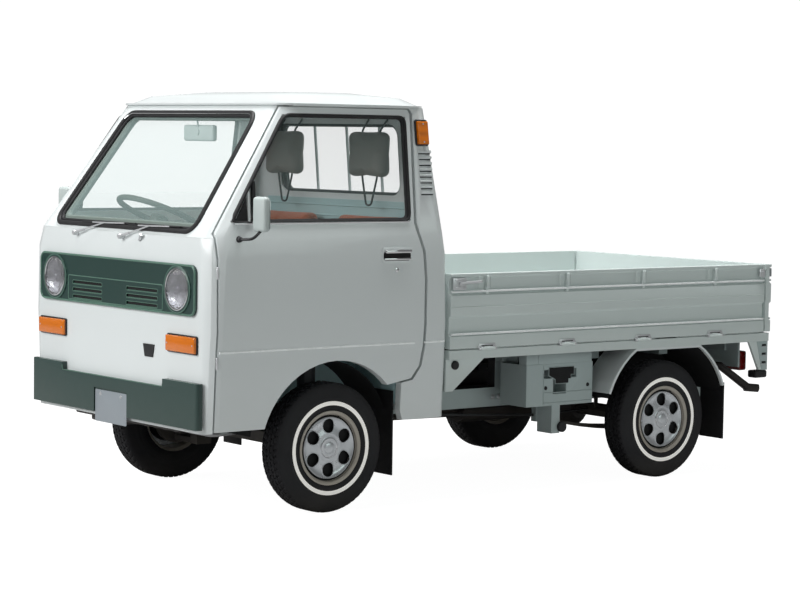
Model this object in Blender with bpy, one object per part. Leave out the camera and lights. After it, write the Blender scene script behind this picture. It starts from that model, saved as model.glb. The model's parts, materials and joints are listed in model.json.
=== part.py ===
"""A cab-over kei truck with a bed that opens on three sides, in metres.

+Z is up, -Y is forwards and +X is the truck's left. The origin is on the ground, at the
middle of the length. Every moving piece has its origin on its joint's axis.
"""

import math

import bmesh
import bpy
from mathutils import Matrix, Vector

# Whole truck
LENGTH = 2.995
WIDTH = 1.295
HEIGHT = 1.600
FRONT_OVERHANG = 0.6105
REAR_OVERHANG = 0.6245
TRACK = 1.085
FIT = 0.0003  # gap between pieces that touch
OVERRUN = 0.05  # how far a cutter passes the faces that it cuts
SIDES = ((1, "left"), (-1, "right"))
ROUND_STEPS = 24
SMALL_STEPS = 8
CORNER_STEPS = 4

FRONT_Y = -LENGTH / 2
REAR_Y = LENGTH / 2
HALF_WIDTH = WIDTH / 2
FRONT_AXLE_Y = FRONT_Y + FRONT_OVERHANG
REAR_AXLE_Y = REAR_Y - REAR_OVERHANG

# Tyres and wheels
TYRE_RADIUS = 0.250
TYRE_WIDTH = 0.125
RIM_RADIUS = 0.137
RIM_WIDTH = 0.112
RIM_WALL = 0.008
DISC_DEPTH = 0.012
HUB_RADIUS = 0.036
HUB_BORE = 0.0205
STUB_RADIUS = 0.0195
COVER_OPENINGS = 6
COVER_OPENING_RADIUS = 0.0165
COVER_PITCH_RADIUS = 0.086
AXLE_Z = TYRE_RADIUS
WHEEL_X = TRACK / 2
TYRE_INNER_X = WHEEL_X - TYRE_WIDTH / 2
DRUM_RADIUS = 0.100
DRUM_WIDTH = 0.030
DRUM_X = TYRE_INNER_X - DRUM_WIDTH / 2
HUB_REACH = WHEEL_X - DRUM_X - DRUM_WIDTH - FIT  # from the wheel's middle in to its drum

# Steering and front suspension
KINGPIN_X = 0.435
UPRIGHT_SIDE = 0.040
UPRIGHT_BOTTOM_Z = 0.190
STRUT_RADIUS = 0.018
STRUT_TOP_Z = 0.598
SPRING_RADIUS = 0.036
ARM_DEPTH = 0.050
ARM_HEIGHT = 0.022
CROSSMEMBER_DEPTH = 0.070
CROSSMEMBER_HEIGHT = 0.045

# Chassis frame
RAIL_X = 0.295
RAIL_WIDTH = 0.050
RAIL_BOTTOM_Z = 0.320
RAIL_HEIGHT = 0.080
RAIL_SETBACK = 0.0975
RAIL_WALL = 0.012
RAIL_FRONT_Y = FRONT_Y + RAIL_SETBACK
RAIL_REAR_Y = REAR_Y - RAIL_SETBACK
RAIL_TOP_Z = RAIL_BOTTOM_Z + RAIL_HEIGHT
RAIL_IN_X = RAIL_X - RAIL_WIDTH / 2
RAIL_OUT_X = RAIL_X + RAIL_WIDTH / 2

# Cab body
PANEL = 0.035  # thickness of the cab's walls and doors
BUMPER_DEPTH = 0.0252
SILL_Z = 0.340
LOW_CREASE_Z = 0.640
CREASE_Z = 0.716
SHOULDER_Z = 0.980
BELT_Z = 1.055
ROOF_DEPTH = 0.055  # from the top down to where the roof starts above the doors
ROOF_CROWN = 0.018
SCREEN_SETBACK = 0.354
BACK_SETBACK = 0.067
TUMBLEHOME = 0.0755
CAB_CORNER = 0.100
GUTTER_WIDTH = 0.009
GUTTER_HEIGHT = 0.008
CAB_FACE_Y = FRONT_Y + BUMPER_DEPTH + FIT
CANT_Z = HEIGHT - ROOF_DEPTH
ROOF_EDGE_Z = HEIGHT - ROOF_CROWN

# Doors
DOOR_GAP = 0.0065
DOOR_REAR_SWING = 0.0065  # further room behind the door for its swing
DOOR_FRONT_SETBACK = 0.042
DOOR_LENGTH = 0.952
QUARTER_LENGTH = 0.133  # from the door's rear edge to the back of the cab
DOOR_BOTTOM_Z = 0.346
BELT_FRONT_SHARE = 0.0714  # of the height from BELT_Z to CANT_Z
DOOR_BELT_FRONT_Z = BELT_Z + (CANT_Z - BELT_Z) * BELT_FRONT_SHARE
DOOR_TOP_Z = CANT_Z - DOOR_GAP
DOOR_FRONT_Y = CAB_FACE_Y + DOOR_FRONT_SETBACK
DOOR_REAR_Y = DOOR_FRONT_Y + DOOR_LENGTH
CAB_BACK_Y = DOOR_REAR_Y + QUARTER_LENGTH
CAB_BEHIND_Y = CAB_BACK_Y + OVERRUN
DOOR_HEIGHT = DOOR_TOP_Z - DOOR_BOTTOM_Z
ARCH_RADIUS = 0.337
PILLAR_REACH = 0.097  # from the door's rear edge forwards to the rear wall's feet
HINGE_LEAF_HEIGHT = 0.060
WINDOW_RAIL = 0.028
WINDOW_SILL_SHARE = 0.1184  # of the height from BELT_Z to CANT_Z
WINDOW_SILL_Z = BELT_Z + (CANT_Z - BELT_Z) * WINDOW_SILL_SHARE
GLASS = 0.005
GLASS_DEPTH = 0.012  # how far the panes lie inside the outer skin

# Windscreen and rear window
SCREEN_BOTTOM_RISE = 0.017
SCREEN_BOTTOM_Z = BELT_Z + SCREEN_BOTTOM_RISE
SCREEN_TOP_DROP = 0.029
SCREEN_TOP_Z = CANT_Z - SCREEN_TOP_DROP
SCREEN_BOTTOM_HALF = 0.505
SCREEN_TOP_HALF = 0.455
SCREEN_CORNER = 0.050
REAR_WINDOW_SHARES = (0.296, 0.8714)  # up from BELT_Z to CANT_Z, its foot and its head
REAR_WINDOW_BOTTOM_Z = BELT_Z + (CANT_Z - BELT_Z) * REAR_WINDOW_SHARES[0]
REAR_WINDOW_TOP_Z = BELT_Z + (CANT_Z - BELT_Z) * REAR_WINDOW_SHARES[1]
REAR_WINDOW_HALF = 0.410
GUARD_BARS = 3
GUARD_PITCH = 0.220
GUARD_RADIUS = 0.006
GUARD_STANDOFF = 0.022
GUARD_OVERHANG = 0.030

# Cab floor, engine and inside
FLOOR = 0.025
FLOOR_HALF = 0.585
RISER_SETBACK = 0.347
RISER_Y = CAB_FACE_Y + RISER_SETBACK
SEAT_DECK_Z = 0.630
WHEELHOUSE_AHEAD = 0.338
WHEELHOUSE_FRONT_Y = FRONT_AXLE_Y - WHEELHOUSE_AHEAD
WHEELHOUSE_BEHIND = 0.337
WHEELHOUSE_REAR_Y = FRONT_AXLE_Y + WHEELHOUSE_BEHIND
WHEELHOUSE_IN_X = 0.310
ENGINE_HALF = 0.200
ENGINE_AHEAD = 0.173
ENGINE_FRONT_Y = FRONT_AXLE_Y - ENGINE_AHEAD
ENGINE_BEHIND = 0.287
ENGINE_REAR_Y = FRONT_AXLE_Y + ENGINE_BEHIND
ENGINE_TOP_Z = 0.560
ENGINE_BEVEL = 0.025
SEAT_X = 0.290
SEAT_WIDTH = 0.440
SEAT_REACH = 0.695
SEAT_FRONT_Y = CAB_BACK_Y - SEAT_REACH
SEAT_CLEARANCE = 0.075
SEAT_REAR_Y = CAB_BACK_Y - SEAT_CLEARANCE
CUSHION_HEIGHT = 0.120
BACKREST_DROP = 0.395
BACKREST_TOP_Z = CANT_Z - BACKREST_DROP
BACKREST_THICKNESS = 0.095
HEADREST_WIDTH = 0.240
HEADREST_HEIGHT = 0.130
HEADREST_THICKNESS = 0.055
HEADREST_GAP = 0.050
HEADREST_CLEARANCE = 0.125
HEADREST_Y = CAB_BACK_Y - HEADREST_CLEARANCE
HEADREST_POST_RADIUS = 0.006
HEADREST_POST_HALF = 0.070
DASH_HALF = 0.575
DASH_BOTTOM_DROP = 0.275
DASH_BOTTOM_Z = BELT_Z - DASH_BOTTOM_DROP
DASH_TOP_DROP = 0.025
DASH_TOP_Z = BELT_Z - DASH_TOP_DROP
DASH_DEPTH = 0.190
STEERING_X = -0.300
STEERING_SETBACK = 0.387
STEERING_Y = CAB_FACE_Y + STEERING_SETBACK
STEERING_RISE = 0.050
STEERING_Z = BELT_Z + STEERING_RISE
STEERING_RADIUS = 0.190
STEERING_GRIP = 0.011
STEERING_TILT = math.radians(24)
COLUMN_RADIUS = 0.024

# Front of the cab
GRILLE_HALF = 0.565
GRILLE_BOTTOM_Z = 0.768
GRILLE_TOP_Z = 0.956
GRILLE_DEPTH = 0.010
GRILLE_CORNER = 0.030
LAMP_X = 0.447
LAMP_Z = 0.862
LAMP_RADIUS = 0.074
BEZEL_RADIUS = 0.0915
BEZEL_DEPTH = 0.014
SLOT_HALF = 0.110
SLOT_X = 0.200
SLOT_HEIGHT = 0.015
SLOT_PITCH = 0.028
SLOT_LOW_Z = 0.790
SLOTS = 3
TURN_LAMP_X = 0.4725
TURN_LAMP_HALF = 0.0975
TURN_LAMP_Z = 0.662
TURN_LAMP_HEIGHT = 0.060
TURN_LAMP_DEPTH = 0.017
BUMPER_HALF = 0.605
BUMPER_BOTTOM_Z = 0.355
BUMPER_TOP_Z = 0.526
BUMPER_NOTCH_Z = 0.495
BUMPER_NOTCH_HALF = 0.370
PLATE_RECESS_HALF = 0.120
PLATE_RECESS_TOP_Z = 0.450
PLATE_RECESS_DEPTH = 0.006

# Small outer pieces
MIRROR_WIDTH = 0.085
MIRROR_HEIGHT = 0.130
MIRROR_THICKNESS = 0.032
MIRROR_X = 0.705
MIRROR_SETBACK = 0.182
MIRROR_Y = CAB_FACE_Y + MIRROR_SETBACK
MIRROR_RISE = 0.090
MIRROR_Z = BELT_Z + MIRROR_RISE
MIRROR_ARM_RADIUS = 0.006
MIRROR_FOOT_SETBACK = 0.127
MIRROR_FOOT_Y = CAB_FACE_Y + MIRROR_FOOT_SETBACK
MIRROR_FOOT_DROP = 0.003
MIRROR_FOOT_Z = BELT_Z - MIRROR_FOOT_DROP
SIDE_LAMP_SETBACK = 0.117
SIDE_LAMP_Y = CAB_BACK_Y - SIDE_LAMP_SETBACK
SIDE_LAMP_DROP = 0.095
SIDE_LAMP_Z = CANT_Z - SIDE_LAMP_DROP
SIDE_LAMP_LENGTH = 0.050
SIDE_LAMP_HEIGHT = 0.088
SIDE_LAMP_DEPTH = 0.020
LOUVRES = 8
LOUVRE_LENGTH = 0.062
LOUVRE_HEIGHT = 0.011
LOUVRE_PITCH = 0.0225
LOUVRE_DROP = 0.192
LOUVRE_LOW_Z = SIDE_LAMP_Z - SIDE_LAMP_HEIGHT / 2 - LOUVRE_DROP
LOUVRE_SETBACK = 0.107
LOUVRE_Y = CAB_BACK_Y - LOUVRE_SETBACK
LOUVRE_PROUD = 0.004

# Bed
GATE_THICKNESS = 0.034
GATE_BOTTOM_Z = 0.604
GATE_TOP_Z = 0.900
GATE_SETBACK = 0.010
GATE_FRONT_Y = CAB_BACK_Y + GATE_SETBACK
HINGE_RADIUS = 0.007
HINGE_Z = 0.600
HINGE_SETOUT = 0.0065  # from a gate's outer face out to its hinge axis
HINGE_LENGTH = 0.030
LUG_LENGTH = 0.020
HINGE_PLAY = 0.0006
GATE_CLEARANCE = 0.008
HOOKS = 4
HOOK_SETBACKS = (0.187, 0.306)  # from the side gate's front and rear ends
HOOK_WIDTH = 0.016
TAIL_HINGES = 4
TAIL_HINGE_PITCH = 0.360
DECK_TOP_Z = 0.612
DECK_BOTTOM_Z = 0.562
SIDE_RAIL_TOP_Z = 0.598
SIDE_RAIL_SETBACK = 0.0105  # from the hinge axis in to the deck's rail
DECK_RIBS = 9
DECK_RIB_WIDTH = 0.040
DECK_RIB_HEIGHT = 0.006
HEADBOARD_THICKNESS = 0.022
HEADBOARD_SETBACK = 0.005
BEARERS = 5
BEARER_WIDTH = 0.050
BEARER_WALL = 0.010
GUSSET_THICKNESS = 0.012
GUSSET_LENGTH = 0.215
GUSSET_DEPTH = 0.128
HINGE_X = HALF_WIDTH - HINGE_RADIUS
TAIL_HINGE_Y = REAR_Y - HINGE_RADIUS
GATE_OUT_X = HINGE_X - HINGE_SETOUT
GATE_IN_X = GATE_OUT_X - GATE_THICKNESS
TAIL_OUT_Y = TAIL_HINGE_Y - HINGE_SETOUT
TAIL_IN_Y = TAIL_OUT_Y - GATE_THICKNESS
GATE_REAR_Y = TAIL_IN_Y - GATE_CLEARANCE
DECK_HALF = GATE_IN_X - GATE_CLEARANCE
HEADBOARD_Y = CAB_BACK_Y + HEADBOARD_SETBACK
SIDE_RAIL_X = HINGE_X - SIDE_RAIL_SETBACK
SIDE_RAIL_Y = TAIL_HINGE_Y - SIDE_RAIL_SETBACK

# Rear axle, springs and what hangs under the bed
AXLE_TUBE_RADIUS = 0.030
DIFF_RADIUS = 0.085
DIFF_WIDTH = 0.150
PROP_RADIUS = 0.020
PROP_FRONT_Y = ENGINE_REAR_Y + PROP_RADIUS * 2
LEAF_SPRING_X = 0.365
SPRING_WIDTH = 0.040
SPRING_AHEAD = 0.468
SPRING_FRONT_Y = REAR_AXLE_Y - SPRING_AHEAD
SPRING_BEHIND = 0.457
SPRING_REAR_Y = REAR_AXLE_Y + SPRING_BEHIND
SPRING_EYE_Z = 0.262
SPRING_SAG = 0.053
SPRING_LEAF = 0.009
SPRING_STACK = 0.022
SPRING_STEPS = 10
EYE_RADIUS = 0.018
HANGER_LENGTH = 0.060
FENDER_CLEARANCE = 0.115  # from the tyre out to the rear wheel arch
FENDER_RADIUS = TYRE_RADIUS + FENDER_CLEARANCE
FENDER_WALL = 0.010
FENDER_OUT_X = 0.625
FENDER_IN_X = 0.462
FENDER_FROM = math.radians(21)
FENDER_TO = math.radians(159)
FENDER_STEPS = 18
FLAP_THICKNESS = 0.006
FLAP_WIDTH = 0.140
BELLY_LENGTH = REAR_AXLE_Y - FENDER_RADIUS - CAB_BACK_Y  # from the cab to the rear wheel arch
REAR_FLAP_Y = REAR_AXLE_Y + FENDER_RADIUS * math.cos(FENDER_FROM) + FIT
REAR_FLAP_TOP_Z = AXLE_Z + FENDER_RADIUS * math.sin(FENDER_FROM) + FENDER_WALL
REAR_FLAP_BOTTOM_Z = 0.145
FRONT_FLAP_BOTTOM_Z = 0.120
EXHAUST_RADIUS = 0.018
MUFFLER_RADIUS = 0.060
EXHAUST_X = 0.170
EXHAUST_Z = 0.300
MUFFLER_SHARES = (0.498, 0.991)  # of BELLY_LENGTH, its front and its rear
MUFFLER_FRONT_Y = CAB_BACK_Y + BELLY_LENGTH * MUFFLER_SHARES[0]
MUFFLER_REAR_Y = CAB_BACK_Y + BELLY_LENGTH * MUFFLER_SHARES[1]
EXHAUST_OVER_Z = 0.455
TAILPIPE_X = 0.550
TAILPIPE_SETBACK = 0.0575
TAILPIPE_Y = REAR_Y - TAILPIPE_SETBACK
TAILPIPE_Z = 0.350
BOX_IN_X = LEAF_SPRING_X + SPRING_WIDTH / 2 + FIT
BOX_OUT_X = 0.550
BOX_SHARES = (0.5674, 0.4291)  # of BELLY_LENGTH, its front and its length
BOX_FRONT_Y = CAB_BACK_Y + BELLY_LENGTH * BOX_SHARES[0]
BOX_LENGTH = BELLY_LENGTH * BOX_SHARES[1]
BOX_BOTTOM_Z = 0.338
BOX_WALL = 0.012
BOX_FOOT_SHARE = 0.385  # of BOX_LENGTH, from the box's front to its foot
BOX_FOOT_WIDTH = 0.090
BOX_FOOT_LENGTH = 0.046
BOX_FOOT_BOTTOM_Z = 0.222
TANK_OUT_X = 0.545
TANK_SHARES = (0.4631, 0.5627)  # of BELLY_LENGTH, its front and its length
TANK_FRONT_Y = CAB_BACK_Y + BELLY_LENGTH * TANK_SHARES[0]
TANK_LENGTH = BELLY_LENGTH * TANK_SHARES[1]
TANK_BOTTOM_Z = 0.300
TANK_BEVEL = 0.030
TAIL_LAMP_X = 0.440
TAIL_LAMP_WIDTH = 0.190
TAIL_LAMP_HEIGHT = 0.085
TAIL_LAMP_DEPTH = 0.040
TAIL_BAR_HEIGHT = 0.070

# Outlines, as shares of the sizes named beside them
# height, set back at the front (of SCREEN_SETBACK), at the back (of BACK_SETBACK),
# inset at the sides (of TUMBLEHOME), front corner and rear corner (of CAB_CORNER)
CAB_SECTION_SHARES = (
    (SILL_Z, 0, 0, 0.30, 0.6, 0.4),
    (LOW_CREASE_Z, 0, 0.04, 0.09, 0.6, 0.4),
    (CREASE_Z, 0, 0.10, 0, 0.6, 0.4),
    (SHOULDER_Z, 0, 0.22, 0, 0.7, 0.4),
    (BELT_Z, 0.02, 0.37, 0.07, 0.9, 0.4),
    (CANT_Z, 1, 1, 1, 0.9, 0.6),
    (ROOF_EDGE_Z, 1.18, 1.7, 1.75, 1.2, 1.0),
    (HEIGHT, 1.6, 3.2, 3.9, 1.4, 1.4),
)
# thickness (of GATE_THICKNESS, from the inner face) and height (of the gate's height)
GATE_PROFILE_SHARES = (
    (0, 0),
    (1, 0),
    (1, 0.165),
    (0.65, 0.185),
    (0.65, 0.415),
    (1, 0.445),
    (1, 0.71),
    (0.65, 0.735),
    (0.65, 0.945),
    (1, 0.965),
    (1, 1),
    (0, 1),
)
# along the door (of DOOR_LENGTH) and up it (of DOOR_HEIGHT), from where it clears the arch
DOOR_REAR_SHARES = (
    (0.828, 0.114),
    (0.946, 0.130),
    (0.985, 0.170),
    (1.0, 0.235),
    (1.0, 0.455),
    (0.988, 0.545),
    (0.962, 0.600),
    (0.949, 0.635),
    (0.966, 0.985),
    (0.955, 1.0),
)
DOOR_TOP_FRONT_SHARE = 0.866  # of SCREEN_SETBACK
# the side window's front end (of SCREEN_SETBACK) and rear end (of DOOR_LENGTH)
WINDOW_SHARES = {"foot": (0.1667, 0.932), "head": (0.9278, 0.942)}
# radius (from RIM_RADIUS to TYRE_RADIUS) and width (of half TYRE_WIDTH)
TYRE_PROFILE_SHARES = (
    (0, 0.80),
    (0.10, 0.88),
    (0.45, 1.0),
    (0.72, 0.97),
    (0.92, 0.84),
    (0.985, 0.60),
    (1.0, 0),
)
# radius (of RIM_RADIUS) and place across (of half RIM_WIDTH) of the wheel cover's face
COVER_PROFILE_SHARES = (
    (0.90, 0.86),
    (0.80, 0.70),
    (0.62, 0.78),
    (0.40, 0.80),
    (0.27, 0.86),
    (0.24, 1.0),
)

# slot: colour, roughness, metallic
FINISHES = {
    "body_white": ((0.74, 0.80, 0.79), 0.35, 0),
    "trim_green": ((0.035, 0.085, 0.065), 0.45, 0),
    "rubber_black": ((0.015, 0.015, 0.016), 0.8, 0),
    "tyre_rubber": ((0.018, 0.018, 0.020), 0.85, 0),
    "wheel_silver": ((0.60, 0.60, 0.60), 0.35, 0.9),
    "glass_clear": ((0.80, 0.88, 0.88), 0.05, 0),
    "lamp_glass": ((0.85, 0.87, 0.88), 0.08, 0),
    "amber_plastic": ((0.80, 0.25, 0.02), 0.2, 0),
    "red_plastic": ((0.55, 0.02, 0.02), 0.2, 0),
    "seat_cloth": ((0.42, 0.20, 0.10), 0.85, 0),
    "headrest_grey": ((0.30, 0.31, 0.32), 0.8, 0),
    "dash_plastic": ((0.55, 0.62, 0.60), 0.6, 0),
    "chassis_black": ((0.03, 0.03, 0.03), 0.6, 0),
    "engine_iron": ((0.18, 0.18, 0.18), 0.6, 0.7),
    "mirror_plastic": ((0.02, 0.02, 0.022), 0.5, 0),
}


def clear_scene():
    for old in list(bpy.data.objects):
        bpy.data.objects.remove(old, do_unlink=True)


def finish_of(slot):
    if slot in bpy.data.materials:
        return bpy.data.materials[slot]
    colour, roughness, metallic = FINISHES[slot]
    material = bpy.data.materials.new(slot)
    material.use_nodes = True
    shader = material.node_tree.nodes["Principled BSDF"]
    shader.inputs["Base Color"].default_value = (*colour, 1)
    shader.inputs["Roughness"].default_value = roughness
    shader.inputs["Metallic"].default_value = metallic
    return material


# Shapes

def shape(bm):
    """Links a closed bmesh as an object, with its faces pointing outwards."""
    bmesh.ops.remove_doubles(bm, verts=bm.verts, dist=FIT / 10)
    bmesh.ops.recalc_face_normals(bm, faces=bm.faces)
    mesh = bpy.data.meshes.new("shape")
    bm.to_mesh(mesh)
    bm.free()
    obj = bpy.data.objects.new("shape", mesh)
    bpy.context.scene.collection.objects.link(obj)
    return obj


def block(xs, ys, zs, bevel=0):
    """A box between two places along each axis, with its edges bevelled."""
    low = Vector((min(xs), min(ys), min(zs)))
    high = Vector((max(xs), max(ys), max(zs)))
    bm = bmesh.new()
    made = bmesh.ops.create_cube(bm, size=1)
    bmesh.ops.scale(bm, vec=high - low, verts=made["verts"])
    bmesh.ops.translate(bm, vec=(low + high) / 2, verts=made["verts"])
    if bevel:
        bmesh.ops.bevel(
            bm, geom=bm.edges[:], offset=bevel, segments=2, profile=0.5, affect="EDGES", material=-1
        )
    return shape(bm)


def prism(outline, axis, ends):
    """An outline in the plane across an axis, extruded between two places along it."""
    turn = {
        "x": lambda a, b: (ends[0], a, b),
        "y": lambda a, b: (a, ends[0], b),
        "z": lambda a, b: (a, b, ends[0]),
    }
    along = {"x": Vector((1, 0, 0)), "y": Vector((0, 1, 0)), "z": Vector((0, 0, 1))}
    bm = bmesh.new()
    face = bm.faces.new([bm.verts.new(turn[axis](*point)) for point in outline])
    made = bmesh.ops.extrude_face_region(bm, geom=[face])
    moved = [item for item in made["geom"] if isinstance(item, bmesh.types.BMVert)]
    bmesh.ops.translate(bm, vec=along[axis] * (ends[1] - ends[0]), verts=moved)
    return shape(bm)


def rod(start, end, radius, sides=SMALL_STEPS):
    start, end = Vector(start), Vector(end)
    turn = (end - start).to_track_quat("Z", "Y").to_matrix().to_4x4()
    bm = bmesh.new()
    bmesh.ops.create_cone(
        bm,
        cap_ends=True,
        segments=sides,
        radius1=radius,
        radius2=radius,
        depth=(end - start).length,
        matrix=Matrix.Translation((start + end) / 2) @ turn,
    )
    return shape(bm)


def turned(profile, centre, steps=ROUND_STEPS):
    """A closed profile of (radius, place along X), turned about the X axis through centre."""
    bm = bmesh.new()
    verts = [bm.verts.new((centre[0] + along, centre[1] + radius, centre[2])) for radius, along in profile]
    edges = [bm.edges.new(pair) for pair in zip(verts, verts[1:])]
    if profile[0][0] and profile[-1][0]:
        edges.append(bm.edges.new((verts[-1], verts[0])))
    bmesh.ops.spin(
        bm, geom=verts + edges, cent=centre, axis=(1, 0, 0), angle=math.tau, steps=steps, use_merge=True
    )
    return shape(bm)


def tube(points, radius):
    """A pipe along straight runs between points, mitred at its bends."""
    curve = bpy.data.curves.new("pipe", "CURVE")
    curve.dimensions = "3D"
    spline = curve.splines.new("POLY")
    spline.points.add(len(points) - 1)
    for place, point in zip(spline.points, points):
        place.co = (*point, 1)
    curve.bevel_depth = radius
    curve.bevel_resolution = 2
    curve.use_fill_caps = True
    obj = bpy.data.objects.new("pipe", curve)
    bpy.context.scene.collection.objects.link(obj)
    bpy.context.view_layer.update()
    mesh = bpy.data.meshes.new_from_object(obj.evaluated_get(bpy.context.evaluated_depsgraph_get()))
    bpy.data.objects.remove(obj, do_unlink=True)
    bm = bmesh.new()
    bm.from_mesh(mesh)
    return shape(bm)


def loft(rings):
    """Closed rings of equally many points, joined one to the next and capped."""
    bm = bmesh.new()
    rows = [[bm.verts.new(point) for point in ring] for ring in rings]
    for lower, upper in zip(rows, rows[1:]):
        for i in range(len(lower)):
            j = (i + 1) % len(lower)
            bm.faces.new((lower[i], lower[j], upper[j], upper[i]))
    bm.faces.new(rows[0][::-1])
    bm.faces.new(rows[-1])
    return shape(bm)


def gathered(tools):
    """Several shapes as one object, which may overlap one another."""
    bm = bmesh.new()
    for tool in tools:
        bm.from_mesh(tool.data)
        bpy.data.objects.remove(tool, do_unlink=True)
    mesh = bpy.data.meshes.new("shapes")
    bm.to_mesh(mesh)
    bm.free()
    obj = bpy.data.objects.new("shapes", mesh)
    bpy.context.scene.collection.objects.link(obj)
    return obj


def worked(target, tools, operation):
    step = target.modifiers.new("shaping", "BOOLEAN")
    step.operation = operation
    step.solver = "EXACT"
    step.use_self = len(tools) > 1
    step.object = gathered(tools)
    bpy.context.view_layer.update()
    graph = bpy.context.evaluated_depsgraph_get()
    mesh = bpy.data.meshes.new_from_object(target.evaluated_get(graph))
    bpy.data.objects.remove(step.object, do_unlink=True)
    target.modifiers.clear()
    target.data = mesh
    return target


def join(target, *tools):
    return worked(target, tools, "UNION")


def cut(target, *tools):
    return worked(target, tools, "DIFFERENCE")


def common(target, tool):
    return worked(target, [tool], "INTERSECT")


def copy_of(obj):
    twin = bpy.data.objects.new("shape", obj.data.copy())
    bpy.context.scene.collection.objects.link(twin)
    return twin


def node(obj, name, slot, origin=(0, 0, 0), carrier=None, smooth=False):
    """Names a finished piece, gives it its finish and puts its origin on its joint's axis."""
    obj.name = name
    obj.data.name = name
    obj.data.transform(Matrix.Translation(-Vector(origin)))
    obj.data.materials.clear()
    obj.data.materials.append(finish_of(slot))
    for face in obj.data.polygons:
        face.material_index = 0
    if smooth:
        obj.data.shade_smooth()
        obj.data.set_sharp_from_angle(angle=math.radians(35))
    if carrier:
        obj.parent = carrier
        obj.location = Vector(origin) - carrier.matrix_world.translation
    else:
        obj.location = origin
    bpy.context.view_layer.update()
    return obj


# Outlines

def arc(centre, radius, start, end, steps):
    return [
        (
            centre[0] + radius * math.cos(start + (end - start) * i / steps),
            centre[1] + radius * math.sin(start + (end - start) * i / steps),
        )
        for i in range(steps + 1)
    ]


def rounded_box(a_ends, b_ends, radius, steps=CORNER_STEPS):
    """A rectangle with round corners, of one radius or of four, anticlockwise from the low corner."""
    radii = radius if isinstance(radius, tuple) else (radius,) * 4
    (a0, a1), (b0, b1) = a_ends, b_ends
    corners = ((a0, b0, 1, 1, 2), (a1, b0, -1, 1, 3), (a1, b1, -1, -1, 0), (a0, b1, 1, -1, 1))
    points = []
    for (a, b, da, db, quarter), r in zip(corners, radii):
        start = quarter * math.pi / 2
        points += arc((a + da * r, b + db * r), r, start, start + math.pi / 2, steps)
    return points


def grown(outline, distance):
    """The outline, anticlockwise, with each side moved out by a distance."""
    points = [Vector(point) for point in outline]
    result = []
    for i, point in enumerate(points):
        before = (point - points[i - 1]).normalized()
        after = (points[(i + 1) % len(points)] - point).normalized()
        out_before = Vector((before.y, -before.x))
        out_after = Vector((after.y, -after.x))
        bisector = (out_before + out_after).normalized()
        result.append(tuple(point + bisector * (distance / bisector.dot(out_before))))
    return result


def cab_solid(inset, bottom_z=SILL_Z):
    """The cab's outer form, set in by a distance, as rounded sections one above the other."""
    rings = []
    for height, front, back, side, front_corner, rear_corner in CAB_SECTION_SHARES:
        half = HALF_WIDTH - TUMBLEHOME * side - inset
        front_y = CAB_FACE_Y + SCREEN_SETBACK * front + inset
        back_y = CAB_BACK_Y - BACK_SETBACK * back - inset
        front_r = max(CAB_CORNER * front_corner - inset, FLOOR)
        rear_r = max(CAB_CORNER * rear_corner - inset, FLOOR / 2)
        radii = (front_r, front_r, rear_r, rear_r)
        z = bottom_z if height == SILL_Z else height - (inset if height > CANT_Z else 0)
        rings.append([(x, y, z) for x, y in rounded_box((-half, half), (front_y, back_y), radii)])
    return loft(rings)


def side_x(height):
    """The cab side's distance from the middle at a height."""
    rows = CAB_SECTION_SHARES
    for low, high in zip(rows, rows[1:]):
        if low[0] <= height <= high[0]:
            share = low[3] + (high[3] - low[3]) * (height - low[0]) / (high[0] - low[0])
            return HALF_WIDTH - TUMBLEHOME * share
    return HALF_WIDTH


def back_y(height):
    """The cab's rear face at a height."""
    rows = CAB_SECTION_SHARES
    for low, high in zip(rows, rows[1:]):
        if low[0] <= height <= high[0]:
            share = low[2] + (high[2] - low[2]) * (height - low[0]) / (high[0] - low[0])
            return CAB_BACK_Y - BACK_SETBACK * share
    return CAB_BACK_Y


def door_outline():
    """A door's outline seen from the left, from its front foot back, before the wheel arch is cut."""
    rear = [
        (DOOR_FRONT_Y + DOOR_LENGTH * a, DOOR_BOTTOM_Z + DOOR_HEIGHT * b) for a, b in DOOR_REAR_SHARES
    ]
    foot = [(DOOR_FRONT_Y, DOOR_BOTTOM_Z), (FRONT_AXLE_Y, DOOR_BOTTOM_Z)]
    top_front = (DOOR_FRONT_Y + SCREEN_SETBACK * DOOR_TOP_FRONT_SHARE, DOOR_TOP_Z)
    return foot + rear + [top_front, (DOOR_FRONT_Y, DOOR_BELT_FRONT_Z)]


def wheel_arch(reach):
    outline = arc((FRONT_AXLE_Y, AXLE_Z), ARCH_RADIUS, 0, math.tau, ROUND_STEPS * 2)
    return prism(outline[:-1], "x", reach)


def window_outline():
    (foot_front, foot_rear), (head_front, head_rear) = WINDOW_SHARES["foot"], WINDOW_SHARES["head"]
    head_z = DOOR_TOP_Z - WINDOW_RAIL
    return [
        (DOOR_FRONT_Y + SCREEN_SETBACK * foot_front, WINDOW_SILL_Z),
        (DOOR_FRONT_Y + DOOR_LENGTH * foot_rear, WINDOW_SILL_Z),
        (DOOR_FRONT_Y + DOOR_LENGTH * head_rear, head_z),
        (DOOR_FRONT_Y + SCREEN_SETBACK * head_front, head_z),
    ]


def screen_outline():
    """The windscreen's outline seen from the front, with round corners."""
    ends = (-SCREEN_BOTTOM_HALF, SCREEN_BOTTOM_HALF)
    square = rounded_box(ends, (SCREEN_BOTTOM_Z, SCREEN_TOP_Z), SCREEN_CORNER)
    taper = (SCREEN_BOTTOM_HALF - SCREEN_TOP_HALF) / (SCREEN_TOP_Z - SCREEN_BOTTOM_Z)
    return [(x * (1 - taper * (z - SCREEN_BOTTOM_Z) / SCREEN_BOTTOM_HALF), z) for x, z in square]


def rear_window_outline():
    ends = (-REAR_WINDOW_HALF, REAR_WINDOW_HALF)
    return rounded_box(ends, (REAR_WINDOW_BOTTOM_Z, REAR_WINDOW_TOP_Z), SCREEN_CORNER)


# Cab

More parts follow.
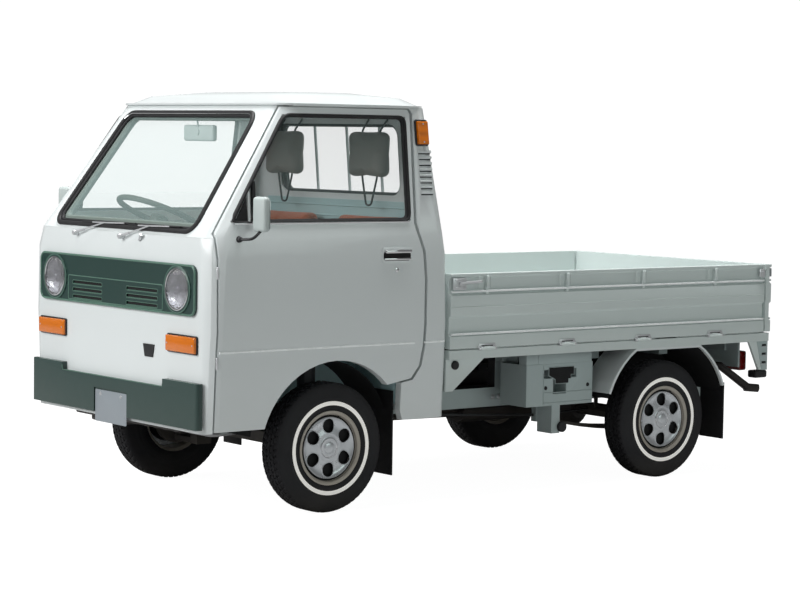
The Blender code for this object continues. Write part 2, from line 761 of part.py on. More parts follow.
def across():
    return (-HALF_WIDTH - OVERRUN, HALF_WIDTH + OVERRUN)


def cab_core(gap):
    """The room inside the two side walls, less a gap, from the sill to the roof."""
    rows = [row for row in CAB_SECTION_SHARES if row[0] <= CANT_Z]
    sides = [(HALF_WIDTH - TUMBLEHOME * row[3] - PANEL - gap, row[0]) for row in rows]
    outline = [(sides[0][0], SILL_Z - OVERRUN)] + sides + [(sides[-1][0], CANT_Z + OVERRUN)]
    return prism(outline + [(-x, z) for x, z in outline[::-1]], "y", (FRONT_Y - OVERRUN, CAB_BEHIND_Y))


def cab_shell():
    shell = cut(cab_solid(0), cab_solid(PANEL, SILL_Z - OVERRUN))
    opening = grown(door_outline(), DOOR_GAP)
    swept = [(y + DOOR_REAR_SWING, z) for y, z in opening]
    foot_ends = (DOOR_FRONT_Y - DOOR_GAP, FRONT_AXLE_Y)
    foot = block(across(), foot_ends, (SILL_Z - OVERRUN, DOOR_BOTTOM_Z + DOOR_GAP))
    openings = join(
        prism(opening, "x", across()), prism(swept, "x", across()), foot, wheel_arch(across())
    )
    return cut(shell, cut(openings, cab_core(DOOR_GAP)))


def pane(outline, axis, ends):
    """A pane of glass that follows the cab's form a little inside its outer skin."""
    sheet = cut(cab_solid(GLASS_DEPTH), cab_solid(GLASS_DEPTH + GLASS, SILL_Z - OVERRUN))
    return common(sheet, prism(grown(outline, -FIT), axis, ends))


def cab_front(shell):
    front = common(
        copy_of(shell),
        block(across(), (FRONT_Y, FRONT_AXLE_Y), (SILL_Z - OVERRUN, BELT_Z)),
    )
    return node(join(front, *door_hinges()), "cab_front", "body_white")


def door_hinges():
    """Two hinge leaves a side, which reach from the front pillar to the door's front edge."""
    leaves = []
    for side, _ in SIDES:
        for low in (LOW_CREASE_Z - HINGE_LEAF_HEIGHT, SHOULDER_Z - HINGE_LEAF_HEIGHT):
            xs = (side * (side_x(low) - PANEL * 0.8), side * (side_x(low) - PANEL * 0.4))
            ys = (DOOR_FRONT_Y - DOOR_GAP * 2, DOOR_FRONT_Y - FIT)
            leaves.append(block(xs, ys, (low, low + HINGE_LEAF_HEIGHT)))
    return leaves


def cab_roof(shell):
    screen = prism(screen_outline(), "y", (FRONT_Y - OVERRUN, FRONT_AXLE_Y))
    roof = common(
        copy_of(shell),
        join(
            block(across(), (FRONT_Y, FRONT_AXLE_Y), (BELT_Z + FIT, HEIGHT + OVERRUN)),
            block(across(), (FRONT_Y, CAB_BEHIND_Y), (CANT_Z + FIT, HEIGHT + OVERRUN)),
        ),
    )
    return node(cut(join(gutter(), roof), screen), "cab_roof", "body_white", smooth=True)


def gutter():
    """The drip rail round the roof's foot, above the doors."""
    half = side_x(CANT_Z) + GUTTER_WIDTH
    ends = (CAB_FACE_Y + SCREEN_SETBACK - GUTTER_WIDTH, back_y(CANT_Z) + GUTTER_WIDTH)
    rail = prism(rounded_box((-half, half), ends, CAB_CORNER), "z", (CANT_Z + FIT, CANT_Z + GUTTER_HEIGHT))
    return cut(rail, cab_solid(PANEL / 2, SILL_Z - OVERRUN))


def cab_back(shell):
    """The rear wall with the pillars and quarters behind the doors, its louvres and window bars."""
    region_ends = (DOOR_REAR_Y - PILLAR_REACH, CAB_BEHIND_Y)
    back = common(shell, block(across(), region_ends, (SILL_Z - OVERRUN, CANT_Z)))
    bay_half = WHEELHOUSE_IN_X + FLOOR
    bay_top = SEAT_DECK_Z - FLOOR * 3
    engine_bay = block((-bay_half, bay_half), (DOOR_REAR_Y, CAB_BEHIND_Y), (SILL_Z - OVERRUN, bay_top))
    back = cut(back, prism(rear_window_outline(), "y", (DOOR_REAR_Y, CAB_BEHIND_Y)), engine_bay)
    extras = []
    for side, _ in SIDES:
        for i in range(LOUVRES):
            z = LOUVRE_LOW_Z + LOUVRE_PITCH * i
            xs = (side * (side_x(z) - PANEL / 2), side * (side_x(z) + LOUVRE_PROUD))
            ys = (LOUVRE_Y - LOUVRE_LENGTH / 2, LOUVRE_Y + LOUVRE_LENGTH / 2)
            extras.append(block(xs, ys, (z, z + LOUVRE_HEIGHT)))
    for i in range(GUARD_BARS):
        x = GUARD_PITCH * (i - (GUARD_BARS - 1) / 2)
        low, high = REAR_WINDOW_BOTTOM_Z - GUARD_OVERHANG, REAR_WINDOW_TOP_Z + GUARD_OVERHANG
        points = [
            (x, back_y(low) - PANEL / 2, low),
            (x, back_y(low) + GUARD_STANDOFF, low),
            (x, back_y(high) + GUARD_STANDOFF, high),
            (x, back_y(high) - PANEL / 2, high),
        ]
        extras.append(tube(points, GUARD_RADIUS))
    return node(join(back, *extras), "cab_back", "body_white")


def make_door(side, hand):
    hinge = (side * side_x(CREASE_Z), DOOR_FRONT_Y, 0)
    reach = (0, side * (HALF_WIDTH + OVERRUN))
    panel = cut(cab_solid(0), cab_solid(PANEL, SILL_Z - OVERRUN))
    panel = common(panel, prism(door_outline(), "x", reach))
    panel = cut(panel, prism(window_outline(), "x", reach), cab_core(0), wheel_arch(reach))
    door = node(panel, "door_" + hand, "body_white", hinge)
    node(pane(window_outline(), "x", reach), "door_glass_" + hand, "glass_clear", hinge, door)
    make_mirror(side, hand, hinge, door)


def make_mirror(side, hand, hinge, door):
    head = block(
        (side * (MIRROR_X - MIRROR_WIDTH / 2), side * (MIRROR_X + MIRROR_WIDTH / 2)),
        (MIRROR_Y - MIRROR_THICKNESS / 2, MIRROR_Y + MIRROR_THICKNESS / 2),
        (MIRROR_Z - MIRROR_HEIGHT / 2, MIRROR_Z + MIRROR_HEIGHT / 2),
        MIRROR_THICKNESS / 4,
    )
    skin = side_x(MIRROR_FOOT_Z - MIRROR_ARM_RADIUS * 2) + FIT
    foot = rod(
        (side * skin, MIRROR_FOOT_Y, MIRROR_FOOT_Z),
        (side * (skin + MIRROR_ARM_RADIUS), MIRROR_FOOT_Y, MIRROR_FOOT_Z),
        MIRROR_ARM_RADIUS * 2,
    )
    arm = tube(
        [
            (side * (skin + MIRROR_ARM_RADIUS / 2), MIRROR_FOOT_Y, MIRROR_FOOT_Z),
            (side * MIRROR_X, MIRROR_FOOT_Y, MIRROR_FOOT_Z),
            (side * MIRROR_X, MIRROR_Y, MIRROR_Z),
        ],
        MIRROR_ARM_RADIUS,
    )
    node(join(head, foot, arm), "mirror_" + hand, "mirror_plastic", hinge, door)


def make_cab():
    shell = cab_shell()
    cab_front(shell)
    cab_roof(shell)
    cab_back(shell)
    screen_ends = (FRONT_Y - OVERRUN, FRONT_AXLE_Y)
    node(pane(screen_outline(), "y", screen_ends), "windscreen", "glass_clear")
    rear_ends = (DOOR_REAR_Y, CAB_BEHIND_Y)
    node(pane(rear_window_outline(), "y", rear_ends), "rear_window", "glass_clear")
    for side, hand in SIDES:
        make_door(side, hand)
        make_side_lamp(side, hand)


def make_side_lamp(side, hand):
    x = side_x(SIDE_LAMP_Z)
    lean = side_x(SIDE_LAMP_Z - SIDE_LAMP_HEIGHT / 2) - x
    zs = (SIDE_LAMP_Z - SIDE_LAMP_HEIGHT / 2, SIDE_LAMP_Z + SIDE_LAMP_HEIGHT / 2)
    outline = [
        (side * (x + lean + FIT), zs[0]),
        (side * (x + lean + SIDE_LAMP_DEPTH), zs[0]),
        (side * (x - lean + SIDE_LAMP_DEPTH), zs[1]),
        (side * (x - lean + FIT), zs[1]),
    ]
    ys = (SIDE_LAMP_Y - SIDE_LAMP_LENGTH / 2, SIDE_LAMP_Y + SIDE_LAMP_LENGTH / 2)
    node(prism(outline, "y", ys), "side_lamp_" + hand, "amber_plastic")


def make_cab_floor():
    """The foot floor, the seat deck over the engine and the two wheelhouses, as one pressing."""
    low = RAIL_TOP_Z + FIT
    front = CAB_FACE_Y + PANEL + FIT
    rear = CAB_BACK_Y - PANEL * 2
    middle = (-FLOOR_HALF, FLOOR_HALF)
    pieces = [
        block(middle, (front, WHEELHOUSE_FRONT_Y + FLOOR), (low, low + FLOOR)),
        block((-WHEELHOUSE_IN_X, WHEELHOUSE_IN_X), (front, RISER_Y + FLOOR), (low, low + FLOOR)),
        block((-WHEELHOUSE_IN_X, WHEELHOUSE_IN_X), (RISER_Y, RISER_Y + FLOOR), (low, SEAT_DECK_Z)),
        block(middle, (WHEELHOUSE_FRONT_Y, rear), (SEAT_DECK_Z - FLOOR, SEAT_DECK_Z)),
    ]
    for side, _ in SIDES:
        outer = (side * WHEELHOUSE_IN_X, side * FLOOR_HALF)
        inner = (side * WHEELHOUSE_IN_X, side * (WHEELHOUSE_IN_X + FLOOR))
        rear_wall = (WHEELHOUSE_REAR_Y - FLOOR, WHEELHOUSE_REAR_Y)
        pieces += [
            block(outer, (WHEELHOUSE_FRONT_Y, WHEELHOUSE_FRONT_Y + FLOOR), (low, SEAT_DECK_Z)),
            block(inner, (WHEELHOUSE_FRONT_Y, WHEELHOUSE_REAR_Y), (low, SEAT_DECK_Z)),
            block(outer, rear_wall, (low, SEAT_DECK_Z)),
        ]
    well = block(
        (-WHEELHOUSE_IN_X, WHEELHOUSE_IN_X),
        (WHEELHOUSE_FRONT_Y - FLOOR, RISER_Y),
        (low + FLOOR, SEAT_DECK_Z + OVERRUN),
    )
    floor = common(cut(join(*pieces), well), cab_solid(PANEL + FIT, SILL_Z - OVERRUN))
    node(floor, "cab_floor", "body_white")


def make_seats():
    for side, hand in SIDES:
        x0, x1 = side * SEAT_X - SEAT_WIDTH / 2, side * SEAT_X + SEAT_WIDTH / 2
        low = SEAT_DECK_Z + FIT
        lean = BACKREST_THICKNESS / 2
        outline = [
            (SEAT_FRONT_Y, low),
            (SEAT_REAR_Y - lean, low),
            (SEAT_REAR_Y, BACKREST_TOP_Z),
            (SEAT_REAR_Y - BACKREST_THICKNESS / 2, BACKREST_TOP_Z + lean / 2),
            (SEAT_REAR_Y - BACKREST_THICKNESS, BACKREST_TOP_Z),
            (SEAT_REAR_Y - BACKREST_THICKNESS - lean * 2, low + CUSHION_HEIGHT + lean),
            (SEAT_REAR_Y - BACKREST_THICKNESS - lean * 3, low + CUSHION_HEIGHT),
            (SEAT_FRONT_Y + lean, low + CUSHION_HEIGHT + lean / 2),
            (SEAT_FRONT_Y, low + CUSHION_HEIGHT - lean / 2),
        ]
        node(prism(outline, "x", (x0, x1)), "seat_" + hand, "seat_cloth")
        make_headrest(side * SEAT_X, hand)


def make_headrest(x, hand):
    low = BACKREST_TOP_Z + HEADREST_GAP
    pad = block(
        (x - HEADREST_WIDTH / 2, x + HEADREST_WIDTH / 2),
        (HEADREST_Y - HEADREST_THICKNESS / 2, HEADREST_Y + HEADREST_THICKNESS / 2),
        (low, low + HEADREST_HEIGHT),
        HEADREST_THICKNESS / 4,
    )
    seat_top = BACKREST_TOP_Z + BACKREST_THICKNESS / 4 + FIT
    posts = [
        rod(
            (x + post * HEADREST_POST_HALF, HEADREST_Y, seat_top),
            (x + post * HEADREST_POST_HALF, HEADREST_Y, low + HEADREST_HEIGHT / 2),
            HEADREST_POST_RADIUS,
            SMALL_STEPS,
        )
        for post, _ in SIDES
    ]
    node(join(pad, *posts), "headrest_" + hand, "headrest_grey")


def make_dashboard():
    """The shelf behind the windscreen, with the steering column's shroud."""
    front = CAB_FACE_Y + PANEL + FIT
    outline = [
        (front, DASH_BOTTOM_Z),
        (front + DASH_DEPTH * 0.7, DASH_BOTTOM_Z),
        (front + DASH_DEPTH, DASH_TOP_Z - DASH_DEPTH * 0.35),
        (front + DASH_DEPTH * 0.85, DASH_TOP_Z),
        (front, DASH_TOP_Z),
    ]
    shelf = prism(outline, "x", (-DASH_HALF, DASH_HALF))
    down = Vector((0, -math.sin(STEERING_TILT), -math.cos(STEERING_TILT)))
    centre = Vector((STEERING_X, STEERING_Y, STEERING_Z))
    column = rod(centre + down * (STEERING_GRIP * 3 + FIT), centre + down * DASH_DEPTH * 1.6, COLUMN_RADIUS)
    bracket = block(
        (STEERING_X - COLUMN_RADIUS, STEERING_X + COLUMN_RADIUS),
        (front + DASH_DEPTH / 2, STEERING_Y - STEERING_GRIP * 2),
        (DASH_TOP_Z - DASH_DEPTH, DASH_TOP_Z - DASH_DEPTH * 0.7),
    )
    dashboard = common(join(shelf, column, bracket), cab_solid(PANEL + FIT, SILL_Z - OVERRUN))
    node(dashboard, "dashboard", "dash_plastic")


def make_steering_wheel():
    bm = bmesh.new()
    ring = bmesh.ops.create_circle(bm, segments=SMALL_STEPS, radius=STEERING_GRIP)
    bmesh.ops.rotate(bm, verts=ring["verts"], matrix=Matrix.Rotation(math.pi / 2, 3, "X"))
    bmesh.ops.translate(bm, verts=ring["verts"], vec=(STEERING_RADIUS - STEERING_GRIP, 0, 0))
    bmesh.ops.spin(
        bm, geom=bm.verts[:] + bm.edges[:], cent=(0, 0, 0), axis=(0, 0, 1), angle=math.tau,
        steps=ROUND_STEPS, use_merge=True,
    )
    rim = shape(bm)
    hub = rod((0, 0, -STEERING_GRIP * 3), (0, 0, STEERING_GRIP), COLUMN_RADIUS * 1.5)
    spokes = block(
        (-STEERING_RADIUS + STEERING_GRIP, STEERING_RADIUS - STEERING_GRIP),
        (-STEERING_GRIP, STEERING_GRIP),
        (-STEERING_GRIP / 2, STEERING_GRIP / 2),
    )
    wheel = join(rim, hub, spokes)
    centre = Vector((STEERING_X, STEERING_Y, STEERING_Z))
    wheel.data.transform(Matrix.Translation(centre) @ Matrix.Rotation(-STEERING_TILT, 4, "X"))
    node(wheel, "steering_wheel", "mirror_plastic", centre, smooth=True)


def make_engine():
    low = AXLE_Z + CROSSMEMBER_HEIGHT / 2 + FIT
    engine = block(
        (-ENGINE_HALF, ENGINE_HALF), (ENGINE_FRONT_Y, ENGINE_REAR_Y), (low, ENGINE_TOP_Z), ENGINE_BEVEL
    )
    node(engine, "engine_block", "engine_iron")


# Front

def make_grille():
    """The green panel between the headlamps, with their bezels and two groups of slots."""
    ys = (CAB_FACE_Y - FIT, CAB_FACE_Y - FIT - GRILLE_DEPTH)
    outline = rounded_box((-GRILLE_HALF, GRILLE_HALF), (GRILLE_BOTTOM_Z, GRILLE_TOP_Z), GRILLE_CORNER)
    panel = prism(outline, "y", ys)
    bezels = [
        rod(
            (side * LAMP_X, ys[0], LAMP_Z),
            (side * LAMP_X, ys[0] - BEZEL_DEPTH, LAMP_Z),
            BEZEL_RADIUS,
            ROUND_STEPS,
        )
        for side, _ in SIDES
    ]
    panel = join(panel, *bezels)
    cutters = []
    for side, _ in SIDES:
        start = (side * LAMP_X, ys[0] + OVERRUN, LAMP_Z)
        cutters.append(rod(start, (side * LAMP_X, ys[0] - OVERRUN, LAMP_Z), LAMP_RADIUS + FIT, ROUND_STEPS))
        for i in range(SLOTS):
            z = SLOT_LOW_Z + SLOT_PITCH * i
            ends = (side * SLOT_X - SLOT_HALF, side * SLOT_X + SLOT_HALF)
            slot = rounded_box(ends, (z - SLOT_HEIGHT / 2, z + SLOT_HEIGHT / 2), SLOT_HEIGHT / 2.5, 2)
            cutters.append(prism(slot, "y", (ys[0] + OVERRUN, ys[0] - OVERRUN)))
    node(cut(panel, *cutters), "grille_panel", "trim_green")


def make_front_lamps():
    for side, hand in SIDES:
        x = side * LAMP_X
        back = CAB_FACE_Y - FIT
        flat = rod((x, back, LAMP_Z), (x, back - BEZEL_DEPTH / 2, LAMP_Z), LAMP_RADIUS, ROUND_STEPS)
        bm = bmesh.new()
        bmesh.ops.create_uvsphere(bm, u_segments=ROUND_STEPS, v_segments=SMALL_STEPS, radius=1)
        bmesh.ops.scale(bm, vec=(LAMP_RADIUS, LAMP_RADIUS, BEZEL_DEPTH * 0.8), verts=bm.verts)
        bmesh.ops.rotate(bm, verts=bm.verts, matrix=Matrix.Rotation(math.pi / 2, 3, "X"))
        bmesh.ops.translate(bm, vec=(x, back - BEZEL_DEPTH / 2, LAMP_Z), verts=bm.verts)
        behind = block((x - LAMP_RADIUS - OVERRUN, x + LAMP_RADIUS + OVERRUN), (back, back + OVERRUN),
                       (LAMP_Z - LAMP_RADIUS - OVERRUN, LAMP_Z + LAMP_RADIUS + OVERRUN))
        node(cut(join(flat, shape(bm)), behind), "headlamp_" + hand, "lamp_glass", smooth=True)
        lamp = block(
            (side * TURN_LAMP_X - TURN_LAMP_HALF, side * TURN_LAMP_X + TURN_LAMP_HALF),
            (back, back - TURN_LAMP_DEPTH),
            (TURN_LAMP_Z - TURN_LAMP_HEIGHT / 2, TURN_LAMP_Z + TURN_LAMP_HEIGHT / 2),
            TURN_LAMP_DEPTH / 4,
        )
        node(lamp, "turn_lamp_" + hand, "amber_plastic")


def make_bumper():
    """The pressed bumper, lower in its middle, with returned ends and a recess for the plate."""
    back = CAB_FACE_Y - FIT
    corner = BUMPER_DEPTH * 0.7
    outline = rounded_box((-BUMPER_HALF, BUMPER_HALF), (FRONT_Y, back), (corner, corner, FIT, FIT))
    bumper = prism(outline, "z", (BUMPER_BOTTOM_Z, BUMPER_TOP_Z))
    notch = block(
        (-BUMPER_NOTCH_HALF, BUMPER_NOTCH_HALF),
        (FRONT_Y - OVERRUN, back + OVERRUN),
        (BUMPER_NOTCH_Z, BUMPER_TOP_Z + OVERRUN),
    )
    recess = block(
        (-PLATE_RECESS_HALF, PLATE_RECESS_HALF),
        (FRONT_Y - OVERRUN, FRONT_Y + PLATE_RECESS_DEPTH),
        (BUMPER_BOTTOM_Z - OVERRUN, PLATE_RECESS_TOP_Z),
    )
    node(cut(bumper, notch, recess), "bumper", "trim_green")


# Wheels and steering

def wheel_profile():
    half = RIM_WIDTH / 2
    inner = RIM_RADIUS - RIM_WALL
    face = [(RIM_RADIUS * r, half * a) for r, a in COVER_PROFILE_SHARES]
    back = [(RIM_RADIUS * r, half * a - DISC_DEPTH) for r, a in COVER_PROFILE_SHARES[:-1]]
    front = [(RIM_RADIUS - FIT, half), (RIM_RADIUS - RIM_WALL / 2, half)] + face + [(0, half)]
    hub_end = half * COVER_PROFILE_SHARES[-2][1] - DISC_DEPTH
    hub = [(0, -HUB_REACH), (HUB_RADIUS, -HUB_REACH), (HUB_RADIUS, hub_end)]
    behind = [(inner, back[0][1]), (inner, -half), (RIM_RADIUS - FIT, -half)]
    return hub + back[-2::-1] + behind + front


def make_wheel(x, y, name):
    """A tyre and its wheel, on the hub of its axle."""
    side = 1 if x > 0 else -1
    centre = (x, y, AXLE_Z)
    depth = TYRE_RADIUS - RIM_RADIUS
    half = [(RIM_RADIUS + depth * r, TYRE_WIDTH / 2 * w) for r, w in TYRE_PROFILE_SHARES]
    profile = half + [(r, -w) for r, w in half[-2::-1]]
    node(turned(profile, centre, ROUND_STEPS), "tyre_" + name, "tyre_rubber", centre, smooth=True)
    profile = [(r, side * a) for r, a in wheel_profile()]
    profile = profile + [profile[0]]
    wheel = turned(profile, centre, ROUND_STEPS)
    openings = [rod((x - side * RIM_WIDTH, y, AXLE_Z), (x + side * FIT, y, AXLE_Z), HUB_BORE, ROUND_STEPS)]
    for i in range(COVER_OPENINGS):
        angle = math.tau * (i + 0.5) / COVER_OPENINGS
        spot = (y + COVER_PITCH_RADIUS * math.cos(angle), AXLE_Z + COVER_PITCH_RADIUS * math.sin(angle))
        openings.append(rod((x, *spot), (x + side * RIM_WIDTH, *spot), COVER_OPENING_RADIUS, SMALL_STEPS))
    node(cut(wheel, *openings), "wheel_" + name, "wheel_silver", centre, smooth=True)


def make_knuckle(side, hand):
    """The upright, strut and brake drum that turn with the steering, and the stub axle."""
    kingpin = (side * KINGPIN_X, FRONT_AXLE_Y, AXLE_Z)
    half = UPRIGHT_SIDE / 2
    upright = block(
        (side * (KINGPIN_X - half), side * (KINGPIN_X + half)),
        (FRONT_AXLE_Y - half, FRONT_AXLE_Y + half),
        (UPRIGHT_BOTTOM_Z, AXLE_Z + UPRIGHT_SIDE * 2),
    )
    drum = rod(
        (side * DRUM_X, *kingpin[1:]),
        (side * (DRUM_X + DRUM_WIDTH), *kingpin[1:]),
        DRUM_RADIUS,
        ROUND_STEPS,
    )
    stub_end = WHEEL_X - HINGE_PLAY
    stub = rod(kingpin, (side * stub_end, *kingpin[1:]), STUB_RADIUS, ROUND_STEPS)
    strut = rod(
        (*kingpin[:2], AXLE_Z + UPRIGHT_SIDE), (*kingpin[:2], STRUT_TOP_Z), STRUT_RADIUS
    )
    spring = rod(
        (*kingpin[:2], AXLE_Z + UPRIGHT_SIDE * 4),
        (*kingpin[:2], STRUT_TOP_Z - UPRIGHT_SIDE / 2),
        SPRING_RADIUS,
    )
    node(join(upright, drum, stub, strut, spring), "knuckle_" + hand, "chassis_black", kingpin)


def make_wheels():
    for side, hand in SIDES:
        make_knuckle(side, hand)
        make_wheel(side * WHEEL_X, FRONT_AXLE_Y, "front_" + hand)
        make_wheel(side * WHEEL_X, REAR_AXLE_Y, "rear_" + hand)


def make_front_suspension():
    """The crossmember under the engine, and the lower arms out to the knuckles."""
    top = AXLE_Z + CROSSMEMBER_HEIGHT / 2
    beam = block(
        (-RAIL_OUT_X, RAIL_OUT_X),
        (FRONT_AXLE_Y - CROSSMEMBER_DEPTH / 2, FRONT_AXLE_Y + CROSSMEMBER_DEPTH / 2),
        (top - CROSSMEMBER_HEIGHT, top),
    )
    pieces = []
    arm_top = UPRIGHT_BOTTOM_Z - HINGE_PLAY
    for side, _ in SIDES:
        pieces.append(
            block(
                (side * RAIL_IN_X, side * RAIL_OUT_X),
                (FRONT_AXLE_Y - CROSSMEMBER_DEPTH / 2, FRONT_AXLE_Y + CROSSMEMBER_DEPTH / 2),
                (arm_top - ARM_HEIGHT, RAIL_BOTTOM_Z - FIT),
            )
        )
        pieces.append(
            block(
                (side * RAIL_IN_X, side * (KINGPIN_X + UPRIGHT_SIDE / 2)),
                (FRONT_AXLE_Y - ARM_DEPTH / 2, FRONT_AXLE_Y + ARM_DEPTH / 2),
                (arm_top - ARM_HEIGHT, arm_top),
            )
        )
    node(join(beam, *pieces), "front_suspension", "chassis_black")


# Chassis

def make_chassis_frame():
    """Two channel rails with crossmembers, posts and the outriggers that carry the bed."""
    pieces = []
    for side, _ in SIDES:
        rail = block(
            (side * RAIL_IN_X, side * RAIL_OUT_X), (RAIL_FRONT_Y, RAIL_REAR_Y), (RAIL_BOTTOM_Z, RAIL_TOP_Z)
        )
        inside = block(
            (side * (RAIL_IN_X - OVERRUN), side * (RAIL_OUT_X - RAIL_WALL)),
            (RAIL_FRONT_Y - OVERRUN, RAIL_REAR_Y + OVERRUN),
            (RAIL_BOTTOM_Z + RAIL_WALL, RAIL_TOP_Z - RAIL_WALL),
        )
        pieces.append(cut(rail, inside))
    middle = (ENGINE_REAR_Y + RAIL_WIDTH, MUFFLER_FRONT_Y - RAIL_WIDTH * 1.5)
    for y in (RAIL_FRONT_Y, *middle, RAIL_REAR_Y - RAIL_WIDTH):
        ends = (-RAIL_OUT_X + RAIL_WALL / 2, RAIL_OUT_X - RAIL_WALL / 2)
        pieces.append(
            block(ends, (y, y + RAIL_WIDTH), (RAIL_BOTTOM_Z + RAIL_WALL / 2, RAIL_TOP_Z - RAIL_WALL / 2))
        )
    bearer_low = DECK_BOTTOM_Z - FIT - BEARER_WIDTH
    for y in bearer_places():
        bearer_ends = (-FENDER_IN_X + FIT, FENDER_IN_X - FIT)
        pieces.append(block(bearer_ends, (y, y + BEARER_WIDTH), (bearer_low, DECK_BOTTOM_Z - FIT)))
        for side, _ in SIDES:
            post = (side * RAIL_IN_X, side * RAIL_OUT_X)
            pieces.append(
                block(post, (y, y + BEARER_WIDTH), (RAIL_TOP_Z - RAIL_WALL / 2, bearer_low + BEARER_WALL))
            )
    for side, _ in SIDES:
        for y in (SPRING_FRONT_Y, SPRING_REAR_Y):
            pieces += spring_hanger(side, y)
    pieces += tail_bar()
    node(join(*pieces), "chassis_frame", "body_white")


def bearer_places():
    first = CAB_BACK_Y + GUSSET_LENGTH / 2
    last = SIDE_RAIL_Y - BEARER_WIDTH * 2
    return [first + (last - first) * i / (BEARERS - 1) for i in range(BEARERS)]


def spring_hanger(side, y):
    """The bracket beside the rail, with a pin that passes through the spring's eye."""
    inner = LEAF_SPRING_X - SPRING_WIDTH / 2 - FIT
    plate = block(
        (side * (RAIL_OUT_X - RAIL_WALL / 2), side * inner),
        (y - HANGER_LENGTH / 2, y + HANGER_LENGTH / 2),
        (SPRING_EYE_Z - EYE_RADIUS, RAIL_TOP_Z),
    )
    return [plate]


def tail_bar():
    """The rear crossmember that carries the tail lamps."""
    half = TAIL_LAMP_X + TAIL_LAMP_WIDTH / 2
    low = DECK_BOTTOM_Z - FIT - BEARER_WIDTH - TAIL_BAR_HEIGHT
    y = RAIL_REAR_Y - BEARER_WALL
    bar = block((-half, half), (y, y + BEARER_WALL), (low, DECK_BOTTOM_Z - FIT - BEARER_WALL))
    ends = []
    for side, _ in SIDES:
        ends.append(
            block(
                (side * RAIL_IN_X, side * RAIL_OUT_X),
                (bearer_places()[-1], y + BEARER_WALL / 2),
                (DECK_BOTTOM_Z - FIT - BEARER_WIDTH, DECK_BOTTOM_Z - FIT - BEARER_WALL),
            )
        )
        ends.append(
            block(
                (side * RAIL_IN_X, side * RAIL_OUT_X),
                (RAIL_REAR_Y - RAIL_WIDTH, y + BEARER_WALL / 2),
                (RAIL_TOP_Z - RAIL_WALL, DECK_BOTTOM_Z - FIT - BEARER_WALL * 2),
            )
        )
    return [bar] + ends


def leaf_spring_outline():
    """A leaf spring from the side: one long leaf, thicker over the axle."""
    top, bottom = [], []
    for i in range(SPRING_STEPS + 1):
        share = i / SPRING_STEPS
        y = SPRING_FRONT_Y + (SPRING_REAR_Y - SPRING_FRONT_Y) * share
        dip = SPRING_SAG * (1 - (2 * share - 1) ** 2)
        thick = SPRING_LEAF + (SPRING_STACK - SPRING_LEAF) * (1 - abs(2 * share - 1))
        top.append((y, SPRING_EYE_Z - dip))
        bottom.append((y, SPRING_EYE_Z - dip - thick))
    return top[::-1] + bottom


def make_rear_axle():
    """The live axle with its differential, drums, prop shaft and two leaf springs."""
    centre = (0, REAR_AXLE_Y, AXLE_Z)
    tube_end = WHEEL_X - HINGE_PLAY
    axle = rod((-DRUM_X, *centre[1:]), (DRUM_X, *centre[1:]), AXLE_TUBE_RADIUS)
    stub = rod((-tube_end, *centre[1:]), (tube_end, *centre[1:]), STUB_RADIUS, ROUND_STEPS)
    diff = turned(
        [
            (0, -DIFF_WIDTH / 2),
            (DIFF_RADIUS * 0.6, -DIFF_WIDTH / 2),
            (DIFF_RADIUS, -DIFF_WIDTH / 4),
            (DIFF_RADIUS, DIFF_WIDTH / 4),
            (DIFF_RADIUS * 0.6, DIFF_WIDTH / 2),
            (0, DIFF_WIDTH / 2),
        ],
        (0, REAR_AXLE_Y, AXLE_Z),
    )
    prop = rod((0, PROP_FRONT_Y, AXLE_Z + PROP_RADIUS), centre, PROP_RADIUS)
    pieces = [stub, diff, prop]
    for side, _ in SIDES:
        xs = (side * (LEAF_SPRING_X - SPRING_WIDTH / 2), side * (LEAF_SPRING_X + SPRING_WIDTH / 2))
        pieces.append(
            rod(
                (side * DRUM_X, *centre[1:]),
                (side * (DRUM_X + DRUM_WIDTH), *centre[1:]),
                DRUM_RADIUS,
                ROUND_STEPS,
            )
        )
        pieces.append(prism(leaf_spring_outline(), "x", xs))
        low = SPRING_EYE_Z - SPRING_SAG - SPRING_STACK
        clamp = (REAR_AXLE_Y - AXLE_TUBE_RADIUS, REAR_AXLE_Y + AXLE_TUBE_RADIUS)
        pieces.append(block(xs, clamp, (low, AXLE_Z)))
        for y in (SPRING_FRONT_Y, SPRING_REAR_Y):
            z = SPRING_EYE_Z - SPRING_LEAF / 2
            pieces.append(rod((xs[0], y, z), (xs[1], y, z), EYE_RADIUS))
    node(join(axle, *pieces), "rear_axle", "chassis_black", centre)


# Bed

def gate_outline(inner, outer):
    height = GATE_TOP_Z - GATE_BOTTOM_Z
    return [(inner + (outer - inner) * a, GATE_BOTTOM_Z + height * b) for a, b in GATE_PROFILE_SHARES]


def hook_places():
    first, last = GATE_FRONT_Y + HOOK_SETBACKS[0], GATE_REAR_Y - HOOK_SETBACKS[1]
    return [first + (last - first) * i / (HOOKS - 1) for i in range(HOOKS)]


def tail_hinge_places():
    return [TAIL_HINGE_PITCH * (i - (TAIL_HINGES - 1) / 2) for i in range(TAIL_HINGES)]


def make_side_gate(side, hand):
    """A pressed side gate with its flange, swages, rope hooks and hinge barrels."""
    hinge = (side * HINGE_X, (GATE_FRONT_Y + GATE_REAR_Y) / 2, HINGE_Z)
    xs = (side * GATE_IN_X, side * GATE_OUT_X)
    gate = prism(gate_outline(*xs), "y", (GATE_FRONT_Y, GATE_REAR_Y))
    extras = []
    for y in hook_places():
        ys = (y - HOOK_WIDTH / 2, y + HOOK_WIDTH / 2)
        height = GATE_TOP_Z - GATE_BOTTOM_Z
        extras.append(block(xs, ys, (GATE_BOTTOM_Z + height * 0.72, GATE_TOP_Z - HINGE_RADIUS)))
        extras += gate_hinge((side * HINGE_X, y), "y", (side * (GATE_OUT_X - HINGE_SETOUT), side * HINGE_X))
    node(join(gate, *extras), "gate_" + hand, "body_white", hinge)


